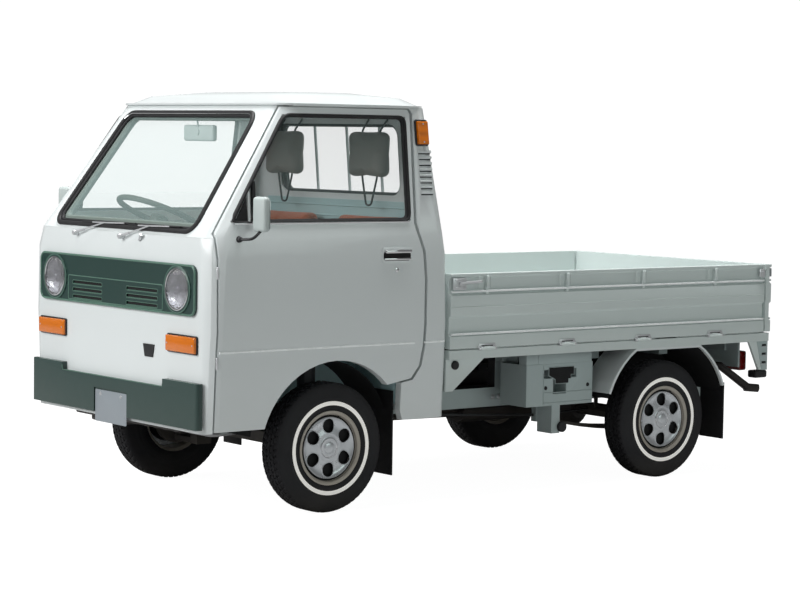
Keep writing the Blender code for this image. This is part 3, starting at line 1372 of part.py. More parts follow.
def gate_hinge(place, axis, xs):
    """A hinge barrel and its strap on the gate. place is (across, along)."""
    half = HINGE_LENGTH / 2
    if axis == "y":
        across_axis, along = place
        barrel = rod(
            (across_axis, along - half, HINGE_Z), (across_axis, along + half, HINGE_Z), HINGE_RADIUS
        )
        strap = block(xs, (along - half, along + half), (HINGE_Z, GATE_BOTTOM_Z + HINGE_RADIUS))
    else:
        across_axis, along = place
        barrel = rod(
            (along - half, across_axis, HINGE_Z), (along + half, across_axis, HINGE_Z), HINGE_RADIUS
        )
        strap = block((along - half, along + half), xs, (HINGE_Z, GATE_BOTTOM_Z + HINGE_RADIUS))
    return [barrel, strap]


def make_tailgate():
    hinge = (0, TAIL_HINGE_Y, HINGE_Z)
    outline = gate_outline(TAIL_IN_Y, TAIL_OUT_Y)
    gate = prism(outline, "x", (-GATE_OUT_X, GATE_OUT_X))
    extras = []
    for x in tail_hinge_places():
        extras += gate_hinge((TAIL_HINGE_Y, x), "x", (TAIL_OUT_Y - HINGE_SETOUT, TAIL_HINGE_Y))
    node(join(gate, *extras), "tailgate", "body_white", hinge)


def hinge_lugs():
    """The lugs on the bed's rails, on either side of each hinge barrel."""
    lugs = []
    start = HINGE_LENGTH / 2 + HINGE_PLAY
    for way, _ in SIDES:
        near, far = way * start, way * (start + LUG_LENGTH)
        for side, _ in SIDES:
            x = side * HINGE_X
            for y in hook_places():
                lugs.append(rod((x, y + near, HINGE_Z), (x, y + far, HINGE_Z), HINGE_RADIUS))
                xs = (side * (SIDE_RAIL_X - HINGE_RADIUS), x)
                lugs.append(block(xs, (y + near, y + far), (HINGE_Z - HINGE_RADIUS, HINGE_Z)))
        for x in tail_hinge_places():
            lugs.append(
                rod((x + near, TAIL_HINGE_Y, HINGE_Z), (x + far, TAIL_HINGE_Y, HINGE_Z), HINGE_RADIUS)
            )
            ys = (SIDE_RAIL_Y - HINGE_RADIUS, TAIL_HINGE_Y)
            lugs.append(block((x + near, x + far), ys, (HINGE_Z - HINGE_RADIUS, HINGE_Z)))
    return lugs


def make_bed_deck():
    """The ribbed deck with its side rails, headboard, gussets and hinge lugs."""
    deck = block((-DECK_HALF, DECK_HALF), (HEADBOARD_Y, GATE_REAR_Y), (DECK_BOTTOM_Z, DECK_TOP_Z))
    rails = block(
        (-SIDE_RAIL_X, SIDE_RAIL_X), (GATE_FRONT_Y, SIDE_RAIL_Y), (DECK_BOTTOM_Z, SIDE_RAIL_TOP_Z)
    )
    headboard = block(
        (-DECK_HALF, DECK_HALF),
        (HEADBOARD_Y, HEADBOARD_Y + HEADBOARD_THICKNESS),
        (DECK_BOTTOM_Z, GATE_TOP_Z),
    )
    pieces = [rails, headboard]
    pitch = 2 * DECK_HALF / DECK_RIBS
    for i in range(DECK_RIBS):
        x = pitch * (i - (DECK_RIBS - 1) / 2)
        ys = (HEADBOARD_Y + HEADBOARD_THICKNESS / 2, GATE_REAR_Y - GATE_CLEARANCE)
        xs = (x - DECK_RIB_WIDTH / 2, x + DECK_RIB_WIDTH / 2)
        pieces.append(block(xs, ys, (DECK_BOTTOM_Z + BEARER_WALL, DECK_TOP_Z + DECK_RIB_HEIGHT)))
    for side, _ in SIDES:
        inner = SIDE_RAIL_X - GATE_THICKNESS
        xs = (side * inner, side * (inner + GUSSET_THICKNESS))
        low = DECK_BOTTOM_Z - GUSSET_DEPTH
        top = DECK_BOTTOM_Z + GUSSET_THICKNESS
        front = [
            (GATE_FRONT_Y, top),
            (GATE_FRONT_Y, low),
            (GATE_FRONT_Y + GUSSET_THICKNESS * 3, low),
            (GATE_FRONT_Y + GUSSET_LENGTH, top),
        ]
        rear = [
            (SIDE_RAIL_Y - GUSSET_LENGTH / 2, top),
            (SIDE_RAIL_Y - GUSSET_THICKNESS * 3, low),
            (SIDE_RAIL_Y - GUSSET_THICKNESS, low),
            (SIDE_RAIL_Y, top),
        ]
        pieces += [prism(front, "x", xs), prism(rear, "x", xs)]
    node(join(deck, *pieces, *hinge_lugs()), "bed_deck", "body_white")


def fender_outline():
    """The rear wheel arch from the side, flattened under the bed."""
    top = min(DECK_BOTTOM_Z - FIT, AXLE_Z + FENDER_RADIUS - FENDER_WALL)
    outer = arc((REAR_AXLE_Y, AXLE_Z), FENDER_RADIUS, FENDER_FROM, FENDER_TO, FENDER_STEPS)
    inner = arc((REAR_AXLE_Y, AXLE_Z), FENDER_RADIUS - FENDER_WALL, FENDER_TO, FENDER_FROM, FENDER_STEPS)
    return outer, inner, top


def make_fender(side, hand):
    outer, inner, top = fender_outline()
    shell = prism(outer + inner, "x", (side * FENDER_IN_X, side * FENDER_OUT_X))
    above = block(
        (side * (FENDER_IN_X - OVERRUN), side * (FENDER_OUT_X + OVERRUN)),
        (REAR_AXLE_Y - FENDER_RADIUS, REAR_AXLE_Y + FENDER_RADIUS),
        (top, AXLE_Z + FENDER_RADIUS + OVERRUN),
    )
    reach = math.sqrt(FENDER_RADIUS**2 - (top - AXLE_Z) ** 2)
    lid = block(
        (side * FENDER_IN_X, side * FENDER_OUT_X),
        (REAR_AXLE_Y - reach, REAR_AXLE_Y + reach),
        (top - FENDER_WALL, top),
    )
    node(join(cut(shell, above), lid), "rear_fender_" + hand, "body_white")


def make_flaps(side, hand):
    xs = (side * (TYRE_INNER_X + FIT), side * (TYRE_INNER_X + FLAP_WIDTH))
    rear = block(xs, (REAR_FLAP_Y, REAR_FLAP_Y + FLAP_THICKNESS), (REAR_FLAP_BOTTOM_Z, REAR_FLAP_TOP_Z))
    node(rear, "mudflap_rear_" + hand, "rubber_black")
    y = WHEELHOUSE_REAR_Y - FLOOR - FIT
    xs = (side * (TYRE_INNER_X - FLOOR), side * FLOOR_HALF)
    front = block(xs, (y - FLAP_THICKNESS, y), (FRONT_FLAP_BOTTOM_Z, RAIL_TOP_Z + FLOOR * 2))
    node(front, "mudflap_front_" + hand, "rubber_black")


def make_exhaust():
    """The pipe from the engine, the silencer and the tailpipe over the axle."""
    start = ENGINE_REAR_Y + EXHAUST_RADIUS * 2
    pipe = tube(
        [
            (EXHAUST_X, start, EXHAUST_Z),
            (EXHAUST_X, MUFFLER_REAR_Y + EXHAUST_RADIUS, EXHAUST_Z),
            (EXHAUST_X, REAR_AXLE_Y - DRUM_RADIUS * 2, EXHAUST_OVER_Z),
            (EXHAUST_X, REAR_AXLE_Y + TYRE_RADIUS, EXHAUST_OVER_Z),
            (TAILPIPE_X, REAR_AXLE_Y + FENDER_RADIUS + FLOOR, EXHAUST_OVER_Z),
            (TAILPIPE_X, TAILPIPE_Y, TAILPIPE_Z),
        ],
        EXHAUST_RADIUS,
    )
    muffler = rod(
        (EXHAUST_X, MUFFLER_FRONT_Y, EXHAUST_Z), (EXHAUST_X, MUFFLER_REAR_Y, EXHAUST_Z), MUFFLER_RADIUS
    )
    strap_y = (MUFFLER_FRONT_Y - RAIL_WIDTH * 1.5, MUFFLER_FRONT_Y - RAIL_WIDTH)
    strap_z = (EXHAUST_Z, RAIL_BOTTOM_Z + RAIL_WALL / 2 - FIT)
    strap = block((EXHAUST_X - EXHAUST_RADIUS / 2, EXHAUST_X + EXHAUST_RADIUS / 2), strap_y, strap_z)
    node(join(pipe, muffler, strap), "exhaust", "engine_iron")


def make_battery_box():
    """The box on the left, open on its outer face in a T-shaped cut-out."""
    ys = (BOX_FRONT_Y, BOX_FRONT_Y + BOX_LENGTH)
    zs = (BOX_BOTTOM_Z, DECK_BOTTOM_Z - FIT * 2 - BEARER_WIDTH)
    box = block((BOX_IN_X, BOX_OUT_X), ys, zs)
    middle = (ys[0] + ys[1]) / 2
    depth = (BOX_OUT_X - BOX_WALL * 6, BOX_OUT_X + OVERRUN)
    bar = block(
        depth,
        (middle - BOX_LENGTH / 4, middle + BOX_LENGTH / 4),
        (zs[1] - BOX_WALL * 5, zs[1] - BOX_WALL * 2),
    )
    stem = block(
        depth, (middle - BOX_WALL * 3, middle + BOX_WALL * 3), (zs[0] + BOX_WALL * 4, zs[1] - BOX_WALL * 4)
    )
    foot_y = BOX_FRONT_Y + BOX_LENGTH * BOX_FOOT_SHARE
    foot = block(
        (BOX_OUT_X - BOX_FOOT_WIDTH, BOX_OUT_X),
        (foot_y, foot_y + BOX_FOOT_LENGTH),
        (BOX_FOOT_BOTTOM_Z, zs[0] + BOX_WALL),
    )
    node(join(cut(box, bar, stem), foot), "battery_box", "body_white")


def make_fuel_tank():
    tank = block(
        (-BOX_IN_X, -TANK_OUT_X),
        (TANK_FRONT_Y, TANK_FRONT_Y + TANK_LENGTH),
        (TANK_BOTTOM_Z, DECK_BOTTOM_Z - FIT * 2 - BEARER_WIDTH),
        TANK_BEVEL,
    )
    node(tank, "fuel_tank", "chassis_black")


def make_tail_lamps():
    for side, hand in SIDES:
        x = side * TAIL_LAMP_X
        low = DECK_BOTTOM_Z - BEARER_WIDTH - TAIL_LAMP_HEIGHT - FIT * 2
        lamp = block(
            (x - TAIL_LAMP_WIDTH / 2, x + TAIL_LAMP_WIDTH / 2),
            (RAIL_REAR_Y + FIT, RAIL_REAR_Y + TAIL_LAMP_DEPTH),
            (low, low + TAIL_LAMP_HEIGHT),
            BEARER_WALL / 2,
        )
        node(lamp, "tail_lamp_" + hand, "red_plastic")


def make_bed():
    make_bed_deck()
    make_tailgate()
    for side, hand in SIDES:
        make_side_gate(side, hand)
        make_fender(side, hand)
        make_flaps(side, hand)


def make_truck():
    clear_scene()
    make_chassis_frame()
    make_front_suspension()
    make_rear_axle()
    make_engine()
    make_wheels()
    make_cab()
    make_cab_floor()
    make_seats()
    make_dashboard()
    make_steering_wheel()
    make_grille()
    make_front_lamps()
    make_bumper()
    make_bed()
    make_exhaust()
    make_battery_box()
    make_fuel_tank()
    make_tail_lamps()


make_truck()
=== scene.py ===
"""The looks of the kei truck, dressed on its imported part. Metres; -Y forwards, +X the truck's left."""

import json
import math

import bmesh
import bpy
from mathutils import Matrix, Vector


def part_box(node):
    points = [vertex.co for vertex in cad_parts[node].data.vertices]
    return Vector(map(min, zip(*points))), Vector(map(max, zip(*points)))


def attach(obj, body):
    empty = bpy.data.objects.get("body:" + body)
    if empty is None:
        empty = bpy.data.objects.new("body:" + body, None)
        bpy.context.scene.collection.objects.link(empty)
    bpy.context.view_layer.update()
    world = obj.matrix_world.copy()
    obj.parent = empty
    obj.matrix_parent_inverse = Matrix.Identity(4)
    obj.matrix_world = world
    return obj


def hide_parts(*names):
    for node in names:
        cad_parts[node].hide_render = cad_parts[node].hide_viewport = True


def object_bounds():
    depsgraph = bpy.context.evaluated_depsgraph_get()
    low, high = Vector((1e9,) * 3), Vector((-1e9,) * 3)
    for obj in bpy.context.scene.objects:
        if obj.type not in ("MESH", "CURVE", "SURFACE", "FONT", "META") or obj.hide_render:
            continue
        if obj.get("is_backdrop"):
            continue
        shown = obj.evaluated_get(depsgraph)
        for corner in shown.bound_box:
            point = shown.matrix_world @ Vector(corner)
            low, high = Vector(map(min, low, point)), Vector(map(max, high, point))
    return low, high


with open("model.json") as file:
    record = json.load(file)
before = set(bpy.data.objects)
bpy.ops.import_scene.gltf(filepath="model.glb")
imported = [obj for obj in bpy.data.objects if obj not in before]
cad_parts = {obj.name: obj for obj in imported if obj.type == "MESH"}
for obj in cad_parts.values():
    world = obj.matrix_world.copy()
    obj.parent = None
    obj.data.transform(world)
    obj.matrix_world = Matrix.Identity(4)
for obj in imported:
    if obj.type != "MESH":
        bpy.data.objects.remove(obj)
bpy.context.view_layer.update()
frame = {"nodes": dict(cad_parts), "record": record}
NODES = frame["nodes"]
BODIES = frame["record"]["behaviour"]["bodies"]
BODY_OF = {node: body for body, members in BODIES.items() for node in members}
SIDES = ((1, "left"), (-1, "right"))
FRONT_AXLE_Y, REAR_AXLE_Y, AXLE_Z = -0.887, 0.873, 0.25
SEAT_X = 0.29
STEERING_RADIUS = 0.1775
CREASE_Z = 0.6395
COVER_OPENINGS = 6
AIR_FRAMES = 20
CAMERA_PLACE = (7.694, -6.129, 1.436)
CAMERA_LENS = 105.18


# ---- finishes

def effect(name, inputs, outputs):
    """A node group with float inputs (with defaults) and typed outputs."""
    tree = bpy.data.node_groups.new(name, "ShaderNodeTree")
    for label, value in inputs.items():
        tree.interface.new_socket(label, in_out="INPUT", socket_type="NodeSocketFloat").default_value = value
    for label, kind in outputs.items():
        tree.interface.new_socket(label, in_out="OUTPUT", socket_type="NodeSocket" + kind)
    return tree, tree.nodes.new("NodeGroupInput"), tree.nodes.new("NodeGroupOutput")


def math_node(tree, operation, a, b):
    made = tree.nodes.new("ShaderNodeMath")
    made.operation = operation
    for socket, value in zip(made.inputs, (a, b)):
        if isinstance(value, (int, float)):
            socket.default_value = value
        else:
            tree.links.new(value, socket)
    return made.outputs[0]


def noise_of(tree, scale, detail=4.0):
    place = tree.nodes.new("ShaderNodeTexCoord")
    noise = tree.nodes.new("ShaderNodeTexNoise")
    noise.inputs["Detail"].default_value = detail
    tree.links.new(place.outputs["Object"], noise.inputs["Vector"])
    if isinstance(scale, (int, float)):
        noise.inputs["Scale"].default_value = scale
    else:
        tree.links.new(scale, noise.inputs["Scale"])
    return noise.outputs["Fac"]


def build_patches():
    """Large soft patches, from 0 to Amount."""
    tree, into, out = effect("patches", {"Scale": 3.0, "Amount": 0.1}, {"Mask": "Float"})
    tree.links.new(math_node(tree, "MULTIPLY", noise_of(tree, into.outputs["Scale"]), into.outputs["Amount"]),
        out.inputs[0])
    return tree


def build_grain():
    """A fine uneven surface."""
    tree, into, out = effect("grain", {"Scale": 300.0, "Strength": 0.1, "Depth": 0.0005}, {"Normal": "Vector"})
    bump = tree.nodes.new("ShaderNodeBump")
    tree.links.new(noise_of(tree, into.outputs["Scale"], 6.0), bump.inputs["Height"])
    tree.links.new(into.outputs["Strength"], bump.inputs["Strength"])
    tree.links.new(into.outputs["Depth"], bump.inputs["Distance"])
    tree.links.new(bump.outputs[0], out.inputs[0])
    return tree


def build_grime():
    """Road dust, thickest near the ground and broken up by noise."""
    tree, into, out = effect("grime", {"Top": 0.5, "Amount": 0.3}, {"Mask": "Float"})
    place = tree.nodes.new("ShaderNodeTexCoord")
    split = tree.nodes.new("ShaderNodeSeparateXYZ")
    tree.links.new(place.outputs["Object"], split.inputs[0])
    low = tree.nodes.new("ShaderNodeMapRange")
    low.inputs["To Min"].default_value, low.inputs["To Max"].default_value = 1.0, 0.0
    tree.links.new(split.outputs["Z"], low.inputs["Value"])
    tree.links.new(into.outputs["Top"], low.inputs["From Max"])
    broken = math_node(tree, "MULTIPLY", noise_of(tree, 9.0), low.outputs[0])
    tree.links.new(math_node(tree, "MULTIPLY", broken, into.outputs["Amount"]), out.inputs[0])
    return tree


def build_inboard():
    """1 where a point lies within Half of the middle plane and below Top: where painted shade goes under the
    bed.
    """
    tree, into, out = effect("inboard", {"Half": 0.3, "Top": 0.6}, {"Mask": "Float"})
    place = tree.nodes.new("ShaderNodeTexCoord")
    split = tree.nodes.new("ShaderNodeSeparateXYZ")
    tree.links.new(place.outputs["Object"], split.inputs[0])
    across = math_node(tree, "LESS_THAN", math_node(tree, "ABSOLUTE", split.outputs["X"], 0.0),
        into.outputs["Half"])
    below = math_node(tree, "LESS_THAN", split.outputs["Z"], into.outputs["Top"])
    tree.links.new(math_node(tree, "MULTIPLY", across, below), out.inputs[0])
    return tree


def build_weave():
    """Crossed threads: a mask of the gaps and the height of the cloth as a normal."""
    tree, into, out = effect("weave", {"Scale": 260.0, "Depth": 0.0006}, {"Gaps": "Float", "Normal": "Vector"})
    place = tree.nodes.new("ShaderNodeTexCoord")
    waves = []
    for way in ("X", "Y", "Z"):
        wave = tree.nodes.new("ShaderNodeTexWave")
        wave.bands_direction = way
        wave.inputs["Distortion"].default_value = 0.6
        tree.links.new(place.outputs["Object"], wave.inputs["Vector"])
        tree.links.new(into.outputs["Scale"], wave.inputs["Scale"])
        waves.append(wave.outputs["Fac"])
    height = math_node(tree, "MULTIPLY", math_node(tree, "ADD", waves[0], waves[1]),
        math_node(tree, "ADD", waves[2], 0.4))
    bump = tree.nodes.new("ShaderNodeBump")
    bump.inputs["Strength"].default_value = 0.6
    tree.links.new(height, bump.inputs["Height"])
    tree.links.new(into.outputs["Depth"], bump.inputs["Distance"])
    tree.links.new(math_node(tree, "MULTIPLY", height, 0.5), out.inputs[0])
    tree.links.new(bump.outputs[0], out.inputs[1])
    return tree


def build_flutes():
    """Upright ribs moulded in a lens."""
    tree, into, out = effect("flutes", {"Scale": 60.0, "Depth": 0.002}, {"Normal": "Vector"})
    place = tree.nodes.new("ShaderNodeTexCoord")
    wave = tree.nodes.new("ShaderNodeTexWave")
    wave.bands_direction = "X"
    tree.links.new(place.outputs["Object"], wave.inputs["Vector"])
    tree.links.new(into.outputs["Scale"], wave.inputs["Scale"])
    bump = tree.nodes.new("ShaderNodeBump")
    bump.inputs["Strength"].default_value = 0.7
    tree.links.new(wave.outputs["Fac"], bump.inputs["Height"])
    tree.links.new(into.outputs["Depth"], bump.inputs["Distance"])
    tree.links.new(bump.outputs[0], out.inputs[0])
    return tree


PATCHES, GRAIN, GRIME = build_patches(), build_grain(), build_grime()
INBOARD_SHADE, WEAVE, FLUTES = build_inboard(), build_weave(), build_flutes()


def srgb(*colour):
    return [((c / 255 + 0.055) / 1.055) ** 2.4 if c > 10 else c / 255 / 12.92 for c in colour]


def use(tree, group, **values):
    made = tree.nodes.new("ShaderNodeGroup")
    made.node_tree = group
    for label, value in values.items():
        made.inputs[label].default_value = value
    return made.outputs


def mixed(tree, mask, first, second):
    made = tree.nodes.new("ShaderNodeMix")
    made.data_type = "RGBA"
    tree.links.new(mask, made.inputs["Factor"])
    for socket, value in ((made.inputs[6], first), (made.inputs[7], second)):
        if isinstance(value, (list, tuple)):
            socket.default_value = (*value, 1)
        else:
            tree.links.new(value, socket)
    return made.outputs[2]


def finish(name, colour, roughness, metallic=0.0, dust=0.0, top=0.5, grain=(300.0, 0.05), uneven=0.1, kind=None,
        rounded=0.0, shade_under=None, **extra):
    """A material: a base colour that varies a little, road dust low down, near-black painted shade inboard and
    low where asked, fine grain and rounded edges.
    """
    material = bpy.data.materials.new(name)
    material.use_nodes = True
    tree = material.node_tree
    shader = tree.nodes["Principled BSDF"]
    base = list(colour)
    darker = [c * 0.72 for c in base]
    shade = mixed(tree, use(tree, PATCHES, Scale=5.0, Amount=uneven)["Mask"], base, darker)
    if dust:
        shade = mixed(tree, use(tree, GRIME, Top=top, Amount=dust)["Mask"], shade, srgb(150, 138, 120))
    # painted shade: near black inboard and below the given height, where the underside lies in shade
    if shade_under:
        shade = mixed(tree, use(tree, INBOARD_SHADE, Half=shade_under[0], Top=shade_under[1])["Mask"], shade, srgb(24, 25, 28))
    normal = use(tree, GRAIN, Scale=grain[0], Strength=grain[1])["Normal"]
    if kind == "cloth":
        woven = use(tree, WEAVE)
        shade = mixed(tree, woven["Gaps"], [c * 0.55 for c in base], shade)
        normal = woven["Normal"]
    if kind == "fluted":
        normal = use(tree, FLUTES)["Normal"]
    if rounded:
        corner = tree.nodes.new("ShaderNodeBevel")
        corner.samples = 4
        corner.inputs["Radius"].default_value = rounded
        tree.links.new(normal, corner.inputs["Normal"])
        normal = corner.outputs[0]
    tree.links.new(shade, shader.inputs["Base Color"])
    tree.links.new(normal, shader.inputs["Normal"])
    rough = math_node(tree, "ADD", use(tree, PATCHES, Scale=14.0, Amount=min(0.15, roughness))["Mask"],
        max(roughness - 0.05, 0.02))
    tree.links.new(rough, shader.inputs["Roughness"])
    shader.inputs["Metallic"].default_value = metallic
    for label, value in extra.items():
        shader.inputs[label.replace("_", " ")].default_value = value
    return material


def clear_glass(name, colour, alpha):
    """A thin pane: tinted, and more mirror-like where it is seen aslant."""
    material = bpy.data.materials.new(name)
    material.use_nodes = True
    tree = material.node_tree
    shader = tree.nodes["Principled BSDF"]
    shader.inputs["Base Color"].default_value = (*colour, 1)
    shader.inputs["Roughness"].default_value = 0.03
    shader.inputs["Specular IOR Level"].default_value = 0.5
    facing = tree.nodes.new("ShaderNodeLayerWeight")
    facing.inputs["Blend"].default_value = 0.25
    spread = tree.nodes.new("ShaderNodeMapRange")
    spread.inputs["To Min"].default_value, spread.inputs["To Max"].default_value = alpha, 0.35
    tree.links.new(facing.outputs["Facing"], spread.inputs["Value"])
    tree.links.new(spread.outputs[0], shader.inputs["Alpha"])
    return material


WHITE = srgb(222, 228, 228)
paint = finish("white_paint", WHITE, 0.32, dust=0.25, grain=(900.0, 0.02), uneven=0.06, rounded=0.002,
    Coat_Weight=0.5, Coat_Roughness=0.08)
# painted highlight: a lighter white for the bright lines along the body creases
crease_highlight = finish("crease_highlight", srgb(246, 250, 250), 0.25, grain=(900.0, 0.02), uneven=0.03,
    Coat_Weight=0.5)
paint_in = finish("inner_paint", srgb(170, 200, 202), 0.45, grain=(500.0, 0.05), rounded=0.002)
# the bed's underside inboard of its sides gets near-black painted shade
bed_paint = finish("bed_paint", srgb(214, 224, 222), 0.42, dust=0.35, top=0.7, grain=(220.0, 0.08), uneven=0.14,
    rounded=0.002, shade_under=(0.594, 0.6085))
# frame paint: darker and greyer than the body white that the frame and battery box share, as painted shade
# under the bed, with near-black painted shade inboard
frame_paint = finish("frame_paint", srgb(176, 190, 190), 0.5, dust=0.3, top=0.6, grain=(180.0, 0.12),
    uneven=0.2, rounded=0.002, shade_under=(0.318, 0.7))
green = finish("green_paint", srgb(27, 57, 52), 0.38, dust=0.15, grain=(700.0, 0.03), rounded=0.0015,
    Coat_Weight=0.4, Coat_Roughness=0.1)
# painted highlight: a lighter green for the edges and lips that catch the light on the grille, lamp surrounds
# and bumper
green_edge_highlight = finish("green_edge_highlight", srgb(84, 118, 104), 0.35, grain=(700.0, 0.03), rounded=0.001)
rubber = finish("rubber", srgb(26, 26, 28), 0.6, grain=(400.0, 0.1), uneven=0.2)
tread = finish("tyre", srgb(20, 20, 24), 0.72, dust=0.12, top=0.12, grain=(350.0, 0.25), uneven=0.25)
# the white wall also glows a little: painted light on top of what the lamps give
whitewall = finish("whitewall", srgb(240, 238, 232), 0.6, dust=0.05, top=0.3, grain=(350.0, 0.08),
    Emission_Color=(0.9, 0.88, 0.84, 1), Emission_Strength=0.28)
chrome = finish("chrome", (0.78, 0.79, 0.8), 0.1, metallic=1.0, grain=(300.0, 0.02), uneven=0.05)
silver = finish("wheel_paint", srgb(206, 210, 214), 0.26, metallic=0.7, dust=0.2, top=0.4, grain=(600.0, 0.04),
    rounded=0.0015)
rim_grey = finish("rim_grey", srgb(176, 170, 160), 0.4, metallic=0.3, dust=0.3, top=0.4, grain=(500.0, 0.05))
# painted shade: near black put in openings, slots, cups, gaps and wheel arches where only shade is seen
shade_black = finish("painted_shade_black", srgb(14, 14, 16), 0.8, grain=(200.0, 0.1))
black = finish("black_plastic", srgb(30, 31, 33), 0.45, grain=(600.0, 0.08), rounded=0.001)
grey_plastic = finish("grey_plastic", srgb(186, 196, 194), 0.4, grain=(500.0, 0.05), rounded=0.002)
glass = clear_glass("window_glass", srgb(190, 215, 212), 0.035)
lens = finish("clear_lens", (0.95, 0.96, 0.97), 0.05, kind="fluted", Transmission_Weight=0.95, IOR=1.3)
reflector = finish("reflector", (0.42, 0.42, 0.46), 0.18, metallic=1.0, grain=(120.0, 0.05))
amber = finish("amber_lens", srgb(238, 126, 8), 0.15, kind="fluted", uneven=0.5, Coat_Weight=0.6)
red = finish("red_lens", srgb(120, 12, 12), 0.12, kind="fluted", Transmission_Weight=0.2)
cloth = finish("seat_cloth", srgb(184, 86, 20), 0.85, kind="cloth", Sheen_Weight=0.3)
cloth_side = finish("seat_vinyl", srgb(148, 84, 50), 0.5, grain=(160.0, 0.3))
vinyl = finish("grey_vinyl", srgb(132, 129, 123), 0.55, grain=(170.0, 0.35), uneven=0.15)
dash_skin = finish("dash_skin", srgb(158, 184, 180), 0.6, grain=(240.0, 0.3), rounded=0.003)
satin = finish("chassis_black", srgb(36, 38, 42), 0.55, dust=0.6, top=0.5, grain=(150.0, 0.25), uneven=0.25,
    rounded=0.0015)
iron = finish("cast_iron", srgb(84, 84, 84), 0.6, metallic=0.6, dust=0.5, top=0.5, grain=(110.0, 0.5),
    uneven=0.3, rounded=0.003)
pipe_metal = finish("exhaust_metal", srgb(44, 41, 40), 0.5, metallic=0.5, dust=0.2, grain=(90.0, 0.3),
    uneven=0.5)
mirror_face = finish("mirror_face", (0.86, 0.88, 0.9), 0.03, metallic=1.0, grain=(50.0, 0.0), uneven=0.0)
plate = finish("plate", srgb(150, 158, 164), 0.4, metallic=0.2, grain=(500.0, 0.06), rounded=0.001)
zinc = finish("zinc", srgb(208, 210, 212), 0.3, metallic=0.6, dust=0.2, grain=(300.0, 0.1))


# ---- shapes

def put(name, parts, finishes, body="truck", smooth=35, replaces=()):
    """Joins bmeshes in one piece that rides on a body. parts may be (bmesh, finish index) pairs."""
    bm = bmesh.new()
    for part in parts if isinstance(parts, list) else [parts]:
        source, index = part if isinstance(part, tuple) else (part, 0)
        bmesh.ops.recalc_face_normals(source, faces=source.faces)
        for face in source.faces:
            face.material_index = face.material_index or index
        scratch = bpy.data.meshes.new("scratch")
        source.to_mesh(scratch)
        source.free()
        bm.from_mesh(scratch)
        bpy.data.meshes.remove(scratch)
    mesh = bpy.data.meshes.new(name)
    bm.to_mesh(mesh)
    bm.free()
    for item in finishes if isinstance(finishes, list) else [finishes]:
        mesh.materials.append(item)
    mesh.shade_smooth()
    mesh.set_sharp_from_angle(angle=math.radians(smooth))
    obj = bpy.data.objects.new(name, mesh)
    bpy.context.scene.collection.objects.link(obj)
    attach(obj, body)
    if replaces:
        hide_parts(*replaces)
    return obj


def box(low, high, bevel=0.0, turn=None, segments=2):
    """A bevelled box between two corners, turned by a matrix about its middle."""
    low, high = Vector(map(min, low, high)), Vector(map(max, low, high))
    bm = bmesh.new()
    bmesh.ops.create_cube(bm, size=1)
    bmesh.ops.scale(bm, vec=high - low, verts=bm.verts)
    if bevel:
        bmesh.ops.bevel(bm, geom=bm.edges[:], offset=bevel, segments=segments, profile=0.5, affect="EDGES",
            material=-1)
    if turn is not None:
        bmesh.ops.transform(bm, matrix=turn.to_4x4(), verts=bm.verts)
    bmesh.ops.translate(bm, vec=(low + high) / 2, verts=bm.verts)
    return bm


def rod(start, end, radius, end_radius=None, sides=20, bevel=0.0):
    start, end = Vector(start), Vector(end)
    bm = bmesh.new()
    bmesh.ops.create_cone(bm, cap_ends=True, segments=sides, radius1=radius,
        radius2=radius if end_radius is None else end_radius, depth=(end - start).length)
    if bevel:
        caps = [e for e in bm.edges if abs(e.verts[0].co.z - e.verts[1].co.z) < 1e-6]
        bmesh.ops.bevel(bm, geom=caps, offset=bevel, segments=2, profile=0.5, affect="EDGES", material=-1)
    turn = (end - start).to_track_quat("Z", "Y").to_matrix().to_4x4()
    bmesh.ops.transform(bm, matrix=Matrix.Translation((start + end) / 2) @ turn, verts=bm.verts)
    return bm


def lathe(profile, centre, axis=(1, 0, 0), steps=64):
    """A profile of (radius, place along the axis) turned about it; closed where it doesn't end on the axis."""
    bm = bmesh.new()
    verts = [bm.verts.new((along, radius, 0)) for radius, along in profile]
    edges = [bm.edges.new(pair) for pair in zip(verts, verts[1:])]
    if profile[0][0] > 1e-6 and profile[-1][0] > 1e-6:
        edges.append(bm.edges.new((verts[-1], verts[0])))
    bmesh.ops.spin(bm, geom=verts + edges, cent=(0, 0, 0), axis=(1, 0, 0), angle=math.tau, steps=steps,
        use_merge=True)
    bmesh.ops.remove_doubles(bm, verts=bm.verts, dist=1e-6)
    turn = Vector((1, 0, 0)).rotation_difference(Vector(axis)).to_matrix().to_4x4()
    bmesh.ops.transform(bm, matrix=Matrix.Translation(Vector(centre)) @ turn, verts=bm.verts)
    return bm


def softened(points, reach, steps=5):
    """An open path with each bend rounded."""
    points = [Vector(p) for p in points]
    out = [points[0]]
    for before, here, after in zip(points, points[1:], points[2:]):
        r = min(reach, (here - before).length / 2.2, (after - here).length / 2.2)
        a, b = here + (before - here).normalized() * r, here + (after - here).normalized() * r
        for i in range(steps + 1):
            t = i / steps
            out.append(a.lerp(here, t).lerp(here.lerp(b, t), t))
    return out + [points[-1]]


